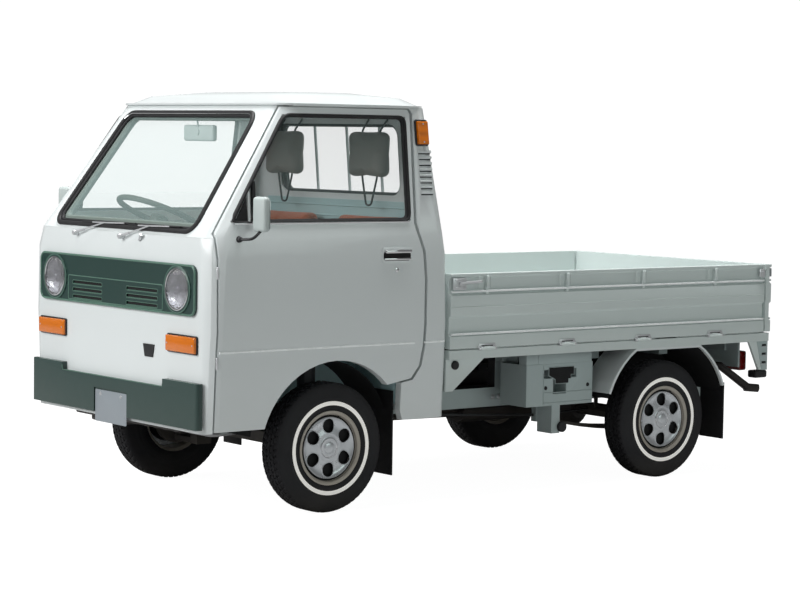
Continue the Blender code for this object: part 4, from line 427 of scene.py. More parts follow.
def tube(points, radius, bend=0.0, closed=False, sides=3):
    """A round bar or hose along a path."""
    if bend:
        points = softened(points, bend)
    curve = bpy.data.curves.new("path", "CURVE")
    curve.dimensions = "3D"
    spline = curve.splines.new("POLY")
    spline.points.add(len(points) - 1)
    for place, point in zip(spline.points, points):
        place.co = (*point, 1)
    spline.use_cyclic_u = closed
    curve.bevel_depth = radius
    curve.bevel_resolution = sides
    curve.use_fill_caps = True
    holder = bpy.data.objects.new("path", curve)
    bpy.context.scene.collection.objects.link(holder)
    bpy.context.view_layer.update()
    mesh = bpy.data.meshes.new_from_object(holder.evaluated_get(bpy.context.evaluated_depsgraph_get()))
    bpy.data.objects.remove(holder, do_unlink=True)
    bm = bmesh.new()
    bm.from_mesh(mesh)
    bmesh.ops.remove_doubles(bm, verts=bm.verts, dist=1e-6)
    return bm


def rounded(a, b, radius, steps=6):
    """Points round a rectangle with round corners, anticlockwise."""
    (a0, a1), (b0, b1) = a, b
    points = []
    for x, y, sx, sy, q in ((a0, b0, 1, 1, 2), (a1, b0, -1, 1, 3), (a1, b1, -1, -1, 0), (a0, b1, 1, -1, 1)):
        for i in range(steps + 1):
            t = (q + i / steps) * math.pi / 2
            points.append((x + sx * radius + radius * math.cos(t), y + sy * radius + radius * math.sin(t)))
    return points


def slab(outline, place, depth, bevel=0.0):
    """A flat outline made thick. place turns (a, b, c) to a point, c being 0 or depth."""
    bm = bmesh.new()
    face = bm.faces.new([bm.verts.new(place(a, b, 0)) for a, b in outline])
    made = bmesh.ops.extrude_face_region(bm, geom=[face])
    moved = [v for v in made["geom"] if isinstance(v, bmesh.types.BMVert)]
    shift = Vector(place(0, 0, depth)) - Vector(place(0, 0, 0))
    bmesh.ops.translate(bm, vec=shift, verts=moved)
    bmesh.ops.recalc_face_normals(bm, faces=bm.faces)
    if bevel:
        edges = [e for e in bm.edges if len(e.link_faces) == 2 and e.calc_face_angle(0) > 0.9]
        bmesh.ops.bevel(bm, geom=edges, offset=bevel, segments=2, profile=0.5, affect="EDGES", material=-1)
    return bm


def bolt(place, out, radius=0.006, height=0.004):
    """A hexagon head on a round washer."""
    place, out = Vector(place), Vector(out).normalized()
    return [rod(place, place + out * height * 0.35, radius * 1.5, sides=16),
        rod(place, place + out * height, radius, sides=6, bevel=radius * 0.12)]


def mirrored(bm):
    twin = bm.copy()
    bmesh.ops.scale(twin, vec=(-1, 1, 1), verts=twin.verts)
    bmesh.ops.reverse_faces(twin, faces=twin.faces)
    return twin


def dressed(node, material, bevel=0.0, name=None):
    """A CAD node's own form with its flat faces merged, softened edges and a full finish."""
    bm = bmesh.new()
    bm.from_mesh(NODES[node].data)
    bmesh.ops.remove_doubles(bm, verts=bm.verts, dist=6e-5)
    bmesh.ops.dissolve_limit(bm, angle_limit=math.radians(0.6), verts=bm.verts, edges=bm.edges,
        use_dissolve_boundaries=False)
    for face in bm.faces:
        face.material_index = 0
    mesh = bpy.data.meshes.new(name or node + "_skin")
    bm.to_mesh(mesh)
    bm.free()
    mesh.materials.append(material)
    mesh.shade_smooth()
    mesh.set_sharp_from_angle(angle=math.radians(28))
    obj = bpy.data.objects.new(mesh.name, mesh)
    bpy.context.scene.collection.objects.link(obj)
    if bevel:
        step = obj.modifiers.new("soft_edges", "BEVEL")
        step.width = bevel
        step.segments = 2
        step.limit_method = "ANGLE"
        step.angle_limit = math.radians(40)
        step.harden_normals = True
    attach(obj, BODY_OF[node])
    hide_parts(node)
    return obj


# ---- the part's own pieces, finished

for node_name, node_finish, node_slot, node_bevel in (
    ("cab_front", paint, "body_white", 0), ("cab_roof", paint, "body_white", 0),
        ("cab_back", paint, "body_white", 0),
    ("door_left", paint, "body_white", 0), ("door_right", paint, "body_white", 0),
    ("gate_left", bed_paint, "body_white", 0.0012), ("gate_right", bed_paint, "body_white", 0.0012),
    ("tailgate", bed_paint, "body_white", 0.0012), ("bed_deck", bed_paint, "body_white", 0.0012),
    ("rear_fender_left", paint, "body_white", 0), ("rear_fender_right", paint, "body_white", 0),
    ("chassis_frame", frame_paint, "body_white", 0.001), ("battery_box", frame_paint, "body_white", 0.0015),
    ("cab_floor", paint_in, "body_white", 0), ("dashboard", dash_skin, "dash_plastic", 0.003),
    ("windscreen", glass, "glass_clear", 0), ("rear_window", glass, "glass_clear", 0),
    ("door_glass_left", glass, "glass_clear", 0), ("door_glass_right", glass, "glass_clear", 0),
    ("grille_panel", green, "trim_green", 0), ("bumper", green, "trim_green", 0.011),
    ("front_suspension", satin, "chassis_black", 0.001), ("rear_axle", satin, "chassis_black", 0.001),
    ("knuckle_left", satin, "chassis_black", 0.001), ("knuckle_right", satin, "chassis_black", 0.001),
    ("engine_block", iron, "engine_iron", 0.002), ("exhaust", pipe_metal, "engine_iron", 0),
    ("fuel_tank", satin, "chassis_black", 0.001),
    ("turn_lamp_left", amber, "amber_plastic", 0), ("turn_lamp_right", amber, "amber_plastic", 0),
    ("side_lamp_left", amber, "amber_plastic", 0.003), ("side_lamp_right", amber, "amber_plastic", 0.003),
    ("tail_lamp_left", red, "red_plastic", 0), ("tail_lamp_right", red, "red_plastic", 0),
    ("mudflap_front_left", rubber, "rubber_black", 0), ("mudflap_front_right", rubber, "rubber_black", 0),
    ("mudflap_rear_left", rubber, "rubber_black", 0), ("mudflap_rear_right", rubber, "rubber_black", 0),
):
    dressed(node_name, node_finish, node_bevel)


# ---- where the cab's outer skin lies

FACE_Y, BELT, CANT, SETBACK, TUMBLE, HALF = -1.472, 1.055, 1.545, 0.354, 0.0755, 0.6475
BACK_Y = -0.345


def screen_y(z):
    return FACE_Y + SETBACK * (0.02 + 0.98 * (z - BELT) / (CANT - BELT)) if z > BELT else FACE_Y + 0.007


def skin_x(z):
    rows = ((0.34, 0.3), (0.64, 0.09), (0.716, 0), (0.98, 0), (1.055, 0.07), (1.545, 1))
    for (z0, s0), (z1, s1) in zip(rows, rows[1:]):
        if z0 <= z <= z1:
            return HALF - TUMBLE * (s0 + (s1 - s0) * (z - z0) / (z1 - z0))
    return HALF


def back_skin(z):
    rows = ((0.98, 0.22), (1.055, 0.37), (1.545, 1))
    for (z0, s0), (z1, s1) in zip(rows, rows[1:]):
        if z0 <= z <= z1:
            return BACK_Y - 0.067 * (s0 + (s1 - s0) * (z - z0) / (z1 - z0))
    return BACK_Y - 0.012


# ---- windows: seals, guard, mirror, wipers

def screen_loop(grow, lift):
    points = []
    for x, z in rounded((-0.505 - grow, 0.505 + grow), (1.072 - grow, 1.516 + grow), 0.05 + grow, 8):
        x *= 1 - 0.099 * (z - 1.072) / 0.444
        points.append((x, screen_y(z) - lift, z))
    return points


put("windscreen_seal", [tube(screen_loop(-0.002, 0.001), 0.0105, closed=True),
    tube(screen_loop(-0.013, -0.006), 0.007, closed=True)], rubber)
put("windscreen_lining", tube([(x, y + 0.03, z) for x, y, z in screen_loop(-0.016, 0.0)], 0.017, closed=True),
    finish("lining", srgb(104, 116, 110), 0.6, grain=(240.0, 0.2)))
put("windscreen_trim", tube(screen_loop(-0.004, 0.0095), 0.0022, closed=True), chrome)

rear_loop = [(x, back_skin(z) + 0.001, z) for x, z in rounded((-0.41, 0.41), (1.2, 1.482), 0.05, 8)]
inner_loop = [(x * 0.985, y - 0.018, z) for x, y, z in rear_loop]
put("rear_window_seal", [tube(rear_loop, 0.009, closed=True), tube(inner_loop, 0.012, closed=True)], rubber)

for side, hand in SIDES:
    body = "door_" + hand
    corners = [(-1.371, 1.113), (-0.543, 1.113), (-0.533, 1.5105), (-1.102, 1.5105)]
    loop = []
    for i, (y, z) in enumerate(corners):
        before, after = Vector(corners[i - 1]), Vector(corners[(i + 1) % 4])
        here = Vector((y, z))
        a, b = here + (before - here).normalized() * 0.03, here + (after - here).normalized() * 0.03
        loop += [a.lerp(here, t).lerp(here.lerp(b, t), t) for t in (0, 0.25, 0.5, 0.75, 1)]
    seal = [tube([(side * (skin_x(z) - 0.003), y, z) for y, z in loop], 0.0055, closed=True)]
    inner = [tube([(side * (skin_x(z) - 0.012), y, z) for y,
        z in [Vector((-0.95, 1.3)).lerp(p, 0.985) for p in loop]], 0.008, closed=True)]
    put("door_seal_" + hand, seal + inner, rubber, body)
    bar = [(side * (skin_x(z) - 0.007), y, z) for y, z in ((-1.268, 1.116), (-1.262, 1.262))]
    pale = [(side * (skin_x(z) - 0.004), y, z) for y, z in ((-1.292, 1.114), (-1.288, 1.226))]
    put("vent_bar_" + hand, tube(bar, 0.0095), rubber, body)
    put("vent_post_" + hand, tube(pale, 0.0055), paint, body)
    quarter = [(-1.352, 1.119), (-1.298, 1.119), (-1.298, 1.205)]
    put("quarter_plate_" + hand, slab(quarter, lambda a, b, c: (side * (skin_x(b) - 0.006 + c), a, b), 0.003,
        0.0008), rubber, body)
    put("belt_strip_" + hand, tube([(side * (skin_x(1.1085) + 0.001), y, 1.1085) for y in (-1.36, -0.55)],
        0.004), chrome, body)
    # handle in its raised escutcheon, with a lock beside it
    around = slab(rounded((-0.69, -0.545), (0.95, 1.012), 0.012), lambda a, b,
        c: (side * (HALF - 0.001 + c), a, b), 0.0035, 0.001)
    put("handle_plate_" + hand, around, paint, body)
    # painted shade: a near-black cup behind the handle
    cup = slab(rounded((-0.684, -0.552), (0.96, 0.996), 0.012), lambda a, b,
        c: (side * (HALF + 0.0022 + c), a, b), 0.0006)
    put("handle_cup_" + hand, cup, shade_black, body)
    grip = box((side * (HALF + 0.004), -0.68, 0.989), (side * (HALF + 0.016), -0.554, 1.003), 0.004, segments=3)
    lip = box((side * (HALF + 0.002), -0.682, 0.9625), (side * (HALF + 0.01), -0.554, 0.9705), 0.002)
    put("door_handle_" + hand, [grip, lip], chrome, body)
    put("door_lock_" + hand, rod((side * (HALF - 0.001), -0.618, 0.925), (side * (HALF + 0.004), -0.618, 0.925),
        0.009, sides=24, bevel=0.001), chrome, body)

guard = []
for i in (-1, 0, 1):
    x, lo, hi = 0.22 * i, 1.17, 1.512
    guard.append(tube([(x, back_skin(lo) - 0.001, lo), (x, back_skin(lo) + 0.022, lo),
        (x, back_skin(hi) + 0.022, hi), (x, back_skin(hi) - 0.001, hi)], 0.0072))
put("window_guard", guard, paint)
put("back_ribs", [tube([(-0.5, back_skin(z) - 0.001, z), (0.5, back_skin(z) - 0.001, z)],
    0.006) for z in (1.108, 1.15)] + [box((-0.52, back_skin(0.98) - 0.004, z),
    (0.52, back_skin(0.98) + 0.0025, z + 0.012), 0.002) for z in (0.93, 0.96)], paint)

# wipers: a spindle, a two-piece arm and a blade with its claws
wipers = []
for pivot, reach in ((-0.3, 0.3), (0.04, 0.28)):
    z0 = 1.04
    base = Vector((pivot, screen_y(z0) - 0.006, z0))
    lift = Vector((0, -0.016, 0))
    tip = Vector((pivot + reach * 0.62, screen_y(1.085), 1.085)) + Vector((0, -0.02, 0))
    wipers += [(rod(base + Vector((0, 0.008, 0)), base + lift * 1.2, 0.012, 0.009, bevel=0.002), 0)]
    wipers += [(tube([base + lift, base.lerp(tip, 0.35) + lift * 0.6], 0.005), 0),
        (tube([base.lerp(tip, 0.33) + lift * 0.6, tip], 0.003), 0)]
    a, b = Vector((pivot + 0.02, screen_y(1.083) - 0.012, 1.083)), Vector((pivot + reach * 1.35,
        screen_y(1.09) - 0.012, 1.09))
    wipers += [(tube([a, a.lerp(b, 0.5), b], 0.0032), 1),
        (tube([a + Vector((0, 0.006, -0.003)), b + Vector((0, 0.006, -0.003))], 0.0022), 1)]
    wipers += [(tube([a.lerp(b, 0.2) + lift * 0.1, a.lerp(b, 0.5) + lift * 0.7, a.lerp(b, 0.8) + lift * 0.1],
        0.0028, bend=0.03), 0)]
wipers += [(tube([(0.16, screen_y(1.03) - 0.004, 1.03), (0.185, screen_y(1.05) - 0.014, 1.052)], 0.006), 0)]
put("wipers", wipers, [zinc, rubber])

room = [tube([(0.03, screen_y(1.52) + 0.045, 1.53), (0.01, -1.12, 1.5), (0.0, -1.105, 1.455)], 0.0035,
    bend=0.03), box((-0.105, -1.108, 1.405), (0.105, -1.085, 1.468), 0.009, segments=3)]
put("room_mirror", room + [rod((0, -1.112, 1.44), (0, -1.1, 1.44), 0.012)], grey_plastic)
put("room_mirror_face", box((-0.098, -1.0855, 1.411), (0.098, -1.0835, 1.462), 0.001), mirror_face)

for side, hand in SIDES:
    x0, x1 = sorted((side * 0.664, side * 0.746))
    shell = box((x0, -1.3055, 1.081), (x1, -1.275, 1.209), 0.0145, segments=4)
    put("mirror_head_" + hand, shell, grey_plastic, "door_" + hand,
        replaces=("mirror_" + hand,))
    face = slab(rounded((x0 + 0.006, x1 - 0.006), (1.087, 1.203), 0.01), lambda a, b, c: (a, -1.2752 + c, b),
        0.0009)
    put("mirror_face_" + hand, face, mirror_face, "door_" + hand)
    foot = Vector((side * skin_x(1.052), -1.345, 1.052))
    arm = tube([foot + Vector((side * 0.004, 0, 0)), foot + Vector((side * 0.03, 0.004, 0.001)),
        (side * 0.706, -1.325, 1.056), (side * 0.706, -1.292, 1.085)], 0.0055, bend=0.02)
    base = rod(foot + Vector((side * -0.004, 0, 0)), foot + Vector((side * 0.014, 0, 0)), 0.013, 0.009,
        bevel=0.002)
    put("mirror_arm_" + hand, [arm, base], black, "door_" + hand)


# ---- front: grille, lamps, bumper

GRILLE_Y = -1.4823
rim = [(x, GRILLE_Y + 0.0005, z) for x, z in rounded((-0.5615, 0.5615), (0.7715, 0.9525), 0.028, 6)]
inner_rim = [(x, GRILLE_Y + 0.001, z) for x, z in rounded((-0.345, 0.345), (0.778, 0.872), 0.006, 3)]
# the grille's rim and slot lips are tubes in the painted-highlight green
put("grille_rim", [tube(rim, 0.0042, closed=True)], green_edge_highlight)
slots, lips = [], []
for side, _ in SIDES:
    for i in range(3):
        z = 0.79 + 0.028 * i
        slots.append(box((side * 0.2 - 0.109, FACE_Y - 0.0045, z - 0.0072),
            (side * 0.2 + 0.109, FACE_Y - 0.0012, z + 0.0072)))
        lips.append(tube([(x, GRILLE_Y, zz) for x,
            zz in rounded((side * 0.2 - 0.111, side * 0.2 + 0.111), (z - 0.0078, z + 0.0078), 0.005, 4)],
            0.0014, closed=True))
        lips.append(box((side * 0.2 - 0.109, GRILLE_Y + 0.002, z - 0.0075),
            (side * 0.2 + 0.109, GRILLE_Y + 0.007, z - 0.0045), 0.0008))
# painted shade: near-black boxes set in the grille slots
put("grille_slot_shade", slots, shade_black)
put("grille_slot_lips", lips + [tube(inner_rim, 0.0024, closed=True)], green_edge_highlight)

for side, hand in SIDES:
    c = Vector((side * 0.447, FACE_Y, 0.862))
    bezel = lathe([(0.0885, 0.0145), (0.0905, 0.0135), (0.0912, 0.01), (0.0905, 0.002), (0.079, 0.002),
        (0.0775, 0.0105), (0.08, 0.014)], c, (0, -1, 0), 72)
    # the lamp surround is in the painted-highlight green
    put("lamp_surround_" + hand, bezel, green_edge_highlight)
    ring = lathe([(0.074, 0.009), (0.0735, 0.015), (0.075, 0.0172), (0.078, 0.0165), (0.079, 0.013),
        (0.0785, 0.009)], c, (0, -1, 0), 72)
    put("lamp_ring_" + hand, ring, chrome)
    dish = lathe([(0, 0.0006), (0.018, 0.001), (0.04, 0.0028), (0.06, 0.0062), (0.0722, 0.0104),
        (0.0728, 0.0098), (0.06, 0.0052), (0.04, 0.0018), (0.018, 0.0003), (0, 0.0001)], c, (0, -1, 0), 64)
    bulb = lathe([(0, 0.0095), (0.006, 0.009), (0.01, 0.007), (0.011, 0.0012), (0, 0.0012)], c, (0, -1, 0), 32)
    put("lamp_reflector_" + hand, [dish, bulb], reflector)
    cover = lathe([(0.0735, 0.0112), (0.066, 0.0138), (0.05, 0.0166), (0.028, 0.0182), (0, 0.0187), (0, 0.0172),
        (0.028, 0.0167), (0.05, 0.0151), (0.066, 0.0122), (0.0725, 0.0104)], c, (0, -1, 0), 64)
    put("headlamp_lens_" + hand, cover, lens, replaces=("headlamp_" + hand,))
    low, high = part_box("turn_lamp_" + hand)
    edge = [(x, high.y - 0.0035, z) for x,
        z in rounded((low.x - 0.0015, high.x + 0.0015), (low.z - 0.0015, high.z + 0.0015), 0.004, 4)]
    put("turn_lamp_bezel_" + hand, tube(edge, 0.0034, closed=True), black)
    screws = [rod((x, low.y - 0.0004, 0.662), (x, low.y + 0.002, 0.662), 0.003,
        sides=12) for x in (low.x + 0.012, high.x - 0.012)]
    put("turn_lamp_screws_" + hand, screws, zinc)

key = slab([(0.2, 0.644), (0.278, 0.644), (0.268, 0.596), (0.212, 0.596)], lambda a, b,
    c: (a, FACE_Y - 0.0002 - c, b), 0.004, 0.001)
put("front_key_cover", key, black)
bumper_edge = [(x, -1.495, z) for x,
    z in ((-0.592, 0.5245), (-0.374, 0.5245), (-0.366, 0.4965), (0.366, 0.4965), (0.374, 0.5245),
    (0.592, 0.5245))]
# painted highlight along the bumper's top edge
put("bumper_edge", [tube(bumper_edge, 0.0022)], green_edge_highlight)
panel = slab(rounded((-0.115, 0.115), (0.3195, 0.443), 0.006), lambda a, b, c: (a, -1.4925 - c, b), 0.0018,
    0.0005)
put("number_plate", panel, plate)
fixings = sum([bolt((x, -1.4943, 0.428), (0, -1, 0), 0.005, 0.0028) for x in (-0.075, 0.075)], [])
put("plate_bolts", fixings, zinc)
hang = [box((-0.06, -1.4915, 0.33), (-0.04, -1.476, 0.37)), box((0.04, -1.4915, 0.33), (0.06, -1.476, 0.37))]
put("plate_brackets", hang, black)


# ---- wheels

def tyre_piece():
    """A tyre about the X axis at the origin, outer side towards +X, with a white wall and a block tread."""
    side_points = [(0.1375, 0.046), (0.1385, 0.0515), (0.143, 0.0545), (0.15, 0.057), (0.1575, 0.059),
        (0.159, 0.06), (0.164, 0.0604),
                   (0.1648, 0.0612), (0.17, 0.0617), (0.1785, 0.0617), (0.1795, 0.0608), (0.19, 0.0603),
                   (0.193, 0.0607), (0.195, 0.0601),
                   (0.206, 0.059), (0.22, 0.0568), (0.23, 0.0545), (0.238, 0.0512), (0.2435, 0.047),
                   (0.2468, 0.0435)]
    crown = [(0.248, 0.0405)]
    for g in (0.033, 0.0115):
        crown += [(0.2494, g + 0.0022), (0.2432, g + 0.0015), (0.2432, g - 0.0015), (0.2496, g - 0.0022)]
    half = side_points + crown
    profile = half + [(0.2498, 0.0)] + [(r, -a) for r, a in half[::-1]]
    bm = bmesh.new()
    verts = [bm.verts.new((a, r, 0)) for r, a in profile]
    edges = [bm.edges.new(pair) for pair in zip(verts, verts[1:])] + [bm.edges.new((verts[-1], verts[0]))]
    steps = 300
    bmesh.ops.spin(bm, geom=verts + edges, cent=(0, 0, 0), axis=(1, 0, 0), angle=math.tau, steps=steps,
        use_merge=True)
    for vert in bm.verts:
        a, r = vert.co.x, math.hypot(vert.co.y, vert.co.z)
        if r < 0.2466 or abs(a) < 0.006:
            continue
        column = round(math.atan2(vert.co.z,
            vert.co.y) / math.tau * steps) + round(abs(a) / 0.009) + (2 if a > 0 else 0)
        if column % 5 == 0:
            vert.co.y *= 1 - 0.0055 / r
            vert.co.z *= 1 - 0.0055 / r
    for face in bm.faces:
        middle = face.calc_center_median()
        r = math.hypot(middle.y, middle.z)
        face.material_index = 1 if middle.x > 0.06 and 0.1642 < r < 0.1791 else 0
    return bm


# An opening in the wheel cover: its radii, its width, its corner radius and the steps of a corner.
OPENING = (0.056, 0.1125), (-0.0265, 0.0265), 0.025, 7


def cut_openings(bm):
    """Six rounded openings through the wheel cover."""
    holder = bpy.data.objects.new("cover", bpy.data.meshes.new("cover"))
    bmesh.ops.recalc_face_normals(bm, faces=bm.faces)
    bm.to_mesh(holder.data)
    bm.free()
    cutters = bmesh.new()
    for i in range(COVER_OPENINGS):
        angle = math.tau * (i + 0.5) / COVER_OPENINGS
        outline = rounded(*OPENING)
        piece = slab(outline, lambda a, b,
            c: (0.02 + c, a * math.cos(angle) - b * math.sin(angle), a * math.sin(angle) + b * math.cos(angle)),
            0.05)
        scratch = bpy.data.meshes.new("scratch")
        piece.to_mesh(scratch)
        piece.free()
        cutters.from_mesh(scratch)
    tool = bpy.data.objects.new("tool", bpy.data.meshes.new("tool"))
    cutters.to_mesh(tool.data)
    cutters.free()
    for obj in (holder, tool):
        bpy.context.scene.collection.objects.link(obj)
    step = holder.modifiers.new("cut", "BOOLEAN")
    step.operation, step.solver, step.object = "DIFFERENCE", "EXACT", tool
    bpy.context.view_layer.update()
    mesh = bpy.data.meshes.new_from_object(holder.evaluated_get(bpy.context.evaluated_depsgraph_get()))
    for obj in (holder, tool):
        bpy.data.objects.remove(obj, do_unlink=True)
    result = bmesh.new()
    result.from_mesh(mesh)
    return result


def wheel_parts():
    """Rim, cover, a backing and gap ring in painted shade, trims, cap and valve about the X axis at the origin.
    """
    rim_part = lathe([(0.1365, -0.0555), (0.135, -0.0558), (0.13, -0.047), (0.125, -0.044), (0.122, -0.03),
        (0.119, 0.0), (0.122, 0.033), (0.1262, 0.044),
                      (0.1295, 0.048), (0.132, 0.0535), (0.1345, 0.0558), (0.1366, 0.0552), (0.1366, 0.05),
                      (0.1345, 0.047), (0.133, 0.043), (0.129, 0.032), (0.125, 0.0), (0.129, -0.04),
                      (0.1345, -0.048), (0.1366, -0.052)], (0, 0, 0), steps=96)
    cover = lathe([(0.1185, 0.043), (0.118, 0.0478), (0.116, 0.049), (0.113, 0.0475), (0.11, 0.0445),
        (0.098, 0.042), (0.085, 0.0415), (0.07, 0.043), (0.058, 0.0465), (0.052, 0.047), (0.043, 0.0455),
        (0.039, 0.047), (0.036, 0.05), (0, 0.05),
                   (0, 0.044), (0.058, 0.042), (0.085, 0.037), (0.11, 0.039), (0.117, 0.04)], (0, 0, 0),
                   steps=96)
    lip_ring = lathe([(0.128, 0.048), (0.129, 0.053), (0.1335, 0.0572), (0.139, 0.0588), (0.1425, 0.0578),
        (0.1425, 0.0535), (0.1366, 0.0515), (0.13, 0.047)], (0, 0, 0), steps=96)
    gap_ring = lathe([(0.1165, 0.034), (0.1275, 0.04), (0.13, 0.047), (0.127, 0.044), (0.123, 0.04),
        (0.1165, 0.038)], (0, 0, 0), steps=64)
    parts = {"silver": [cut_openings(cover)], "rim": [rim_part, lip_ring], "shade_black": [gap_ring], "chrome": [],
        "rubber": []}
    # painted shade: dark backing seen through the cover's openings
    parts["shade_black"].append(lathe([(0.036, 0.024), (0.118, 0.024), (0.118, 0.026), (0.036, 0.026)], (0, 0, 0),
        steps=48))
    parts["shade_black"].append(lathe([(0.0, -0.01), (0.095, -0.01), (0.1, 0.0), (0.1, 0.018), (0.0, 0.02)], (0, 0, 0),
        steps=48))
    for i in range(COVER_OPENINGS):
        angle = math.tau * (i + 0.5) / COVER_OPENINGS
        points = []
        for r, t in rounded(*OPENING):
            lift = 0.0415 + 0.006 * ((r - 0.085) / 0.03) ** 2 * (1.0 if r < 0.085 else 0.75)
            points.append((lift, r * math.cos(angle) - t * math.sin(angle),
                r * math.sin(angle) + t * math.cos(angle)))
        parts["silver"].append(tube(points, 0.0016, closed=True))
    parts["silver"].append(lathe([(0, 0.055), (0.012, 0.0548), (0.018, 0.0536), (0.0225, 0.0515),
        (0.024, 0.048), (0, 0.047)], (0, 0, 0), steps=48))
    parts["chrome"].append(lathe([(0.0335, 0.05), (0.0345, 0.0515), (0.036, 0.0515), (0.0368, 0.0498)],
        (0, 0, 0), steps=48))
    parts["rubber"].append(rod((0.044, 0.1245 * math.cos(1.2), 0.1245 * math.sin(1.2)),
        (0.0555, 0.121 * math.cos(1.2), 0.121 * math.sin(1.2)), 0.0032, sides=12, bevel=0.0008))
    parts["silver"].append(lathe([(0.02, -0.06), (0.036, -0.06), (0.04, -0.03), (0.06, 0.004), (0.118, 0.01),
        (0.118, 0.014), (0.058, 0.01), (0.02, -0.02)], (0, 0, 0), steps=48))
    return parts


tyre_master, wheel_master = tyre_piece(), wheel_parts()
WHEEL_LOOKS = {"silver": (silver, "wheel_silver"), "rim": (rim_grey, "wheel_silver"),
    "shade_black": (shade_black, "rubber_black"), "chrome": (chrome, "wheel_silver"), "rubber": (rubber, "rubber_black")}
for end in ("front", "rear"):
    for side, hand in SIDES:
        low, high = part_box(f"tyre_{end}_{hand}")
        middle = (low + high) / 2
        body = f"wheel_{end}_{hand}"

        def placed(source):
            twin = source.copy() if side > 0 else mirrored(source)
            bmesh.ops.translate(twin, vec=middle, verts=twin.verts)
            return twin

        put(f"tyre_{end}_{hand}_tread", placed(tyre_master), [tread, whitewall], body, smooth=38,
            replaces=(f"tyre_{end}_{hand}",))
        for label, pieces_of in wheel_master.items():
            look, slot_name = WHEEL_LOOKS[label]
            covered = (f"wheel_{end}_{hand}",) if label == "silver" else ()
            put(f"wheel_{end}_{hand}_{label}", [placed(p) for p in pieces_of], look, body,
                replaces=covered)


# ---- seats and headrests

def swollen(block, cap):
    """A pad blown up by air pressure from a smaller block."""
    mesh = bpy.data.meshes.new("pad")
    bmesh.ops.recalc_face_normals(block, faces=block.faces)
    block.to_mesh(mesh)
    block.free()
    holder = bpy.data.objects.new("pad", mesh)
    bpy.context.scene.collection.objects.link(holder)
    grid = holder.modifiers.new("grid", "REMESH")
    grid.mode, grid.voxel_size = "VOXEL", 0.006
    bpy.context.view_layer.update()
    holder.data = bpy.data.meshes.new_from_object(holder.evaluated_get(bpy.context.evaluated_depsgraph_get()))
    holder.modifiers.clear()
    rest = [v.co.copy() for v in holder.data.vertices]
    air = holder.modifiers.new("air", "CLOTH")
    air.settings.use_pressure = True
    air.settings.uniform_pressure_force = 4
    air.settings.effector_weights.gravity = 0
    air.settings.quality = 4
    air.point_cache.frame_start, air.point_cache.frame_end = 1, AIR_FRAMES
    for step in range(1, AIR_FRAMES + 1):
        bpy.context.scene.frame_set(step)
    moved = bpy.data.meshes.new_from_object(holder.evaluated_get(bpy.context.evaluated_depsgraph_get()))
    holder.modifiers.clear()
    bpy.context.scene.frame_set(1)
    for vert, before, after in zip(holder.data.vertices, rest, moved.vertices):
        shift = after.co - before
        vert.co = before + shift * min(1, cap / max(shift.length, 1e-9))
    result = bmesh.new()
    result.from_mesh(holder.data)
    bmesh.ops.smooth_vert(result, verts=result.verts, factor=0.5, use_axis_x=True, use_axis_y=True,
        use_axis_z=True)
    bpy.data.objects.remove(holder, do_unlink=True)
    return result


def seat_pads(x):
    """Cushion and backrest blocks about a seat's middle, smaller than the seat by the swelling."""
    cushion = box((x - 0.198, -1.022, 0.646), (x + 0.198, -0.56, 0.735), 0.028, segments=4)
    lean = Matrix.Rotation(math.radians(-5.2), 3, "X")
    back = box((x - 0.196, -0.535, 0.668), (x + 0.196, -0.468, 1.122), 0.026, turn=lean, segments=4)
    bmesh.ops.translate(back, vec=(0, 0.012, 0.006), verts=back.verts)
    return cushion, back


cushion_pad, back_pad = [swollen(block, 0.012) for block in seat_pads(SEAT_X)]
rest_block = box((0.174, -0.516, 1.272), (0.406, -0.457, 1.453), 0.027, segments=5)
rest_pad = swollen(rest_block, 0.008)
for side, hand in SIDES:
    def seated(source):
        return source.copy() if side > 0 else mirrored(source)

    pads = put("seat_pads_" + hand, [seated(cushion_pad), seated(back_pad)], cloth,
        smooth=60, replaces=("seat_" + hand,))
    head = put("headrest_pad_" + hand, seated(rest_pad), vinyl, smooth=60,
        replaces=("headrest_" + hand,))
    x = side * SEAT_X
    lines = []
    for off in (-0.2065, 0.2065):
        lines.append(tube([(x + off, -1.01, 0.7), (x + off, -0.575, 0.7)], 0.003))
        lines.append(tube([(x + off, -0.5265, 0.7), (x + off, -0.4935, 1.095)], 0.003))
    lines.append(tube([(x - 0.185, -1.0325, 0.7), (x + 0.185, -1.0325, 0.7)], 0.003))
    put("seat_piping_" + hand, lines, cloth_side)
    seams = [tube([(x + 0.066 * i, -1.0, 0.7475), (x + 0.066 * i, -0.59, 0.7475)], 0.0016) for i in range(-2,
        3)]
    put("seat_seams_" + hand, seams, cloth_side)
    path = [(x - 0.062, -0.44, 1.505), (x - 0.058, -0.478, 1.455), (x - 0.048, -0.482, 1.27),
        (x - 0.016, -0.486, 1.16), (x + 0.016, -0.486, 1.16), (x + 0.048, -0.482, 1.27),
        (x + 0.058, -0.478, 1.455), (x + 0.062, -0.44, 1.505)]
    put("headrest_wires_" + hand, tube(path, 0.0042, bend=0.014), black)
    base = [box((x - 0.2, -0.985, 0.6303), (x + 0.2, -0.575, 0.652), 0.004),
        tube([(x - 0.15, -1.0, 0.64), (x - 0.15, -0.56, 0.64)], 0.007),
        tube([(x + 0.15, -1.0, 0.64), (x + 0.15, -0.56, 0.64)], 0.007)]
    put("seat_base_" + hand, base, black)


# ---- inside the cab

wheel_middle, wheel_tilt = Vector((-0.3, -1.085, 1.105)), math.radians(24)
out = Vector((0, math.sin(wheel_tilt), math.cos(wheel_tilt)))
across = Vector((0, math.cos(wheel_tilt), -math.sin(wheel_tilt)))


def on_wheel(x, s, lift):
    return wheel_middle + Vector((x, 0, 0)) + across * s + out * lift


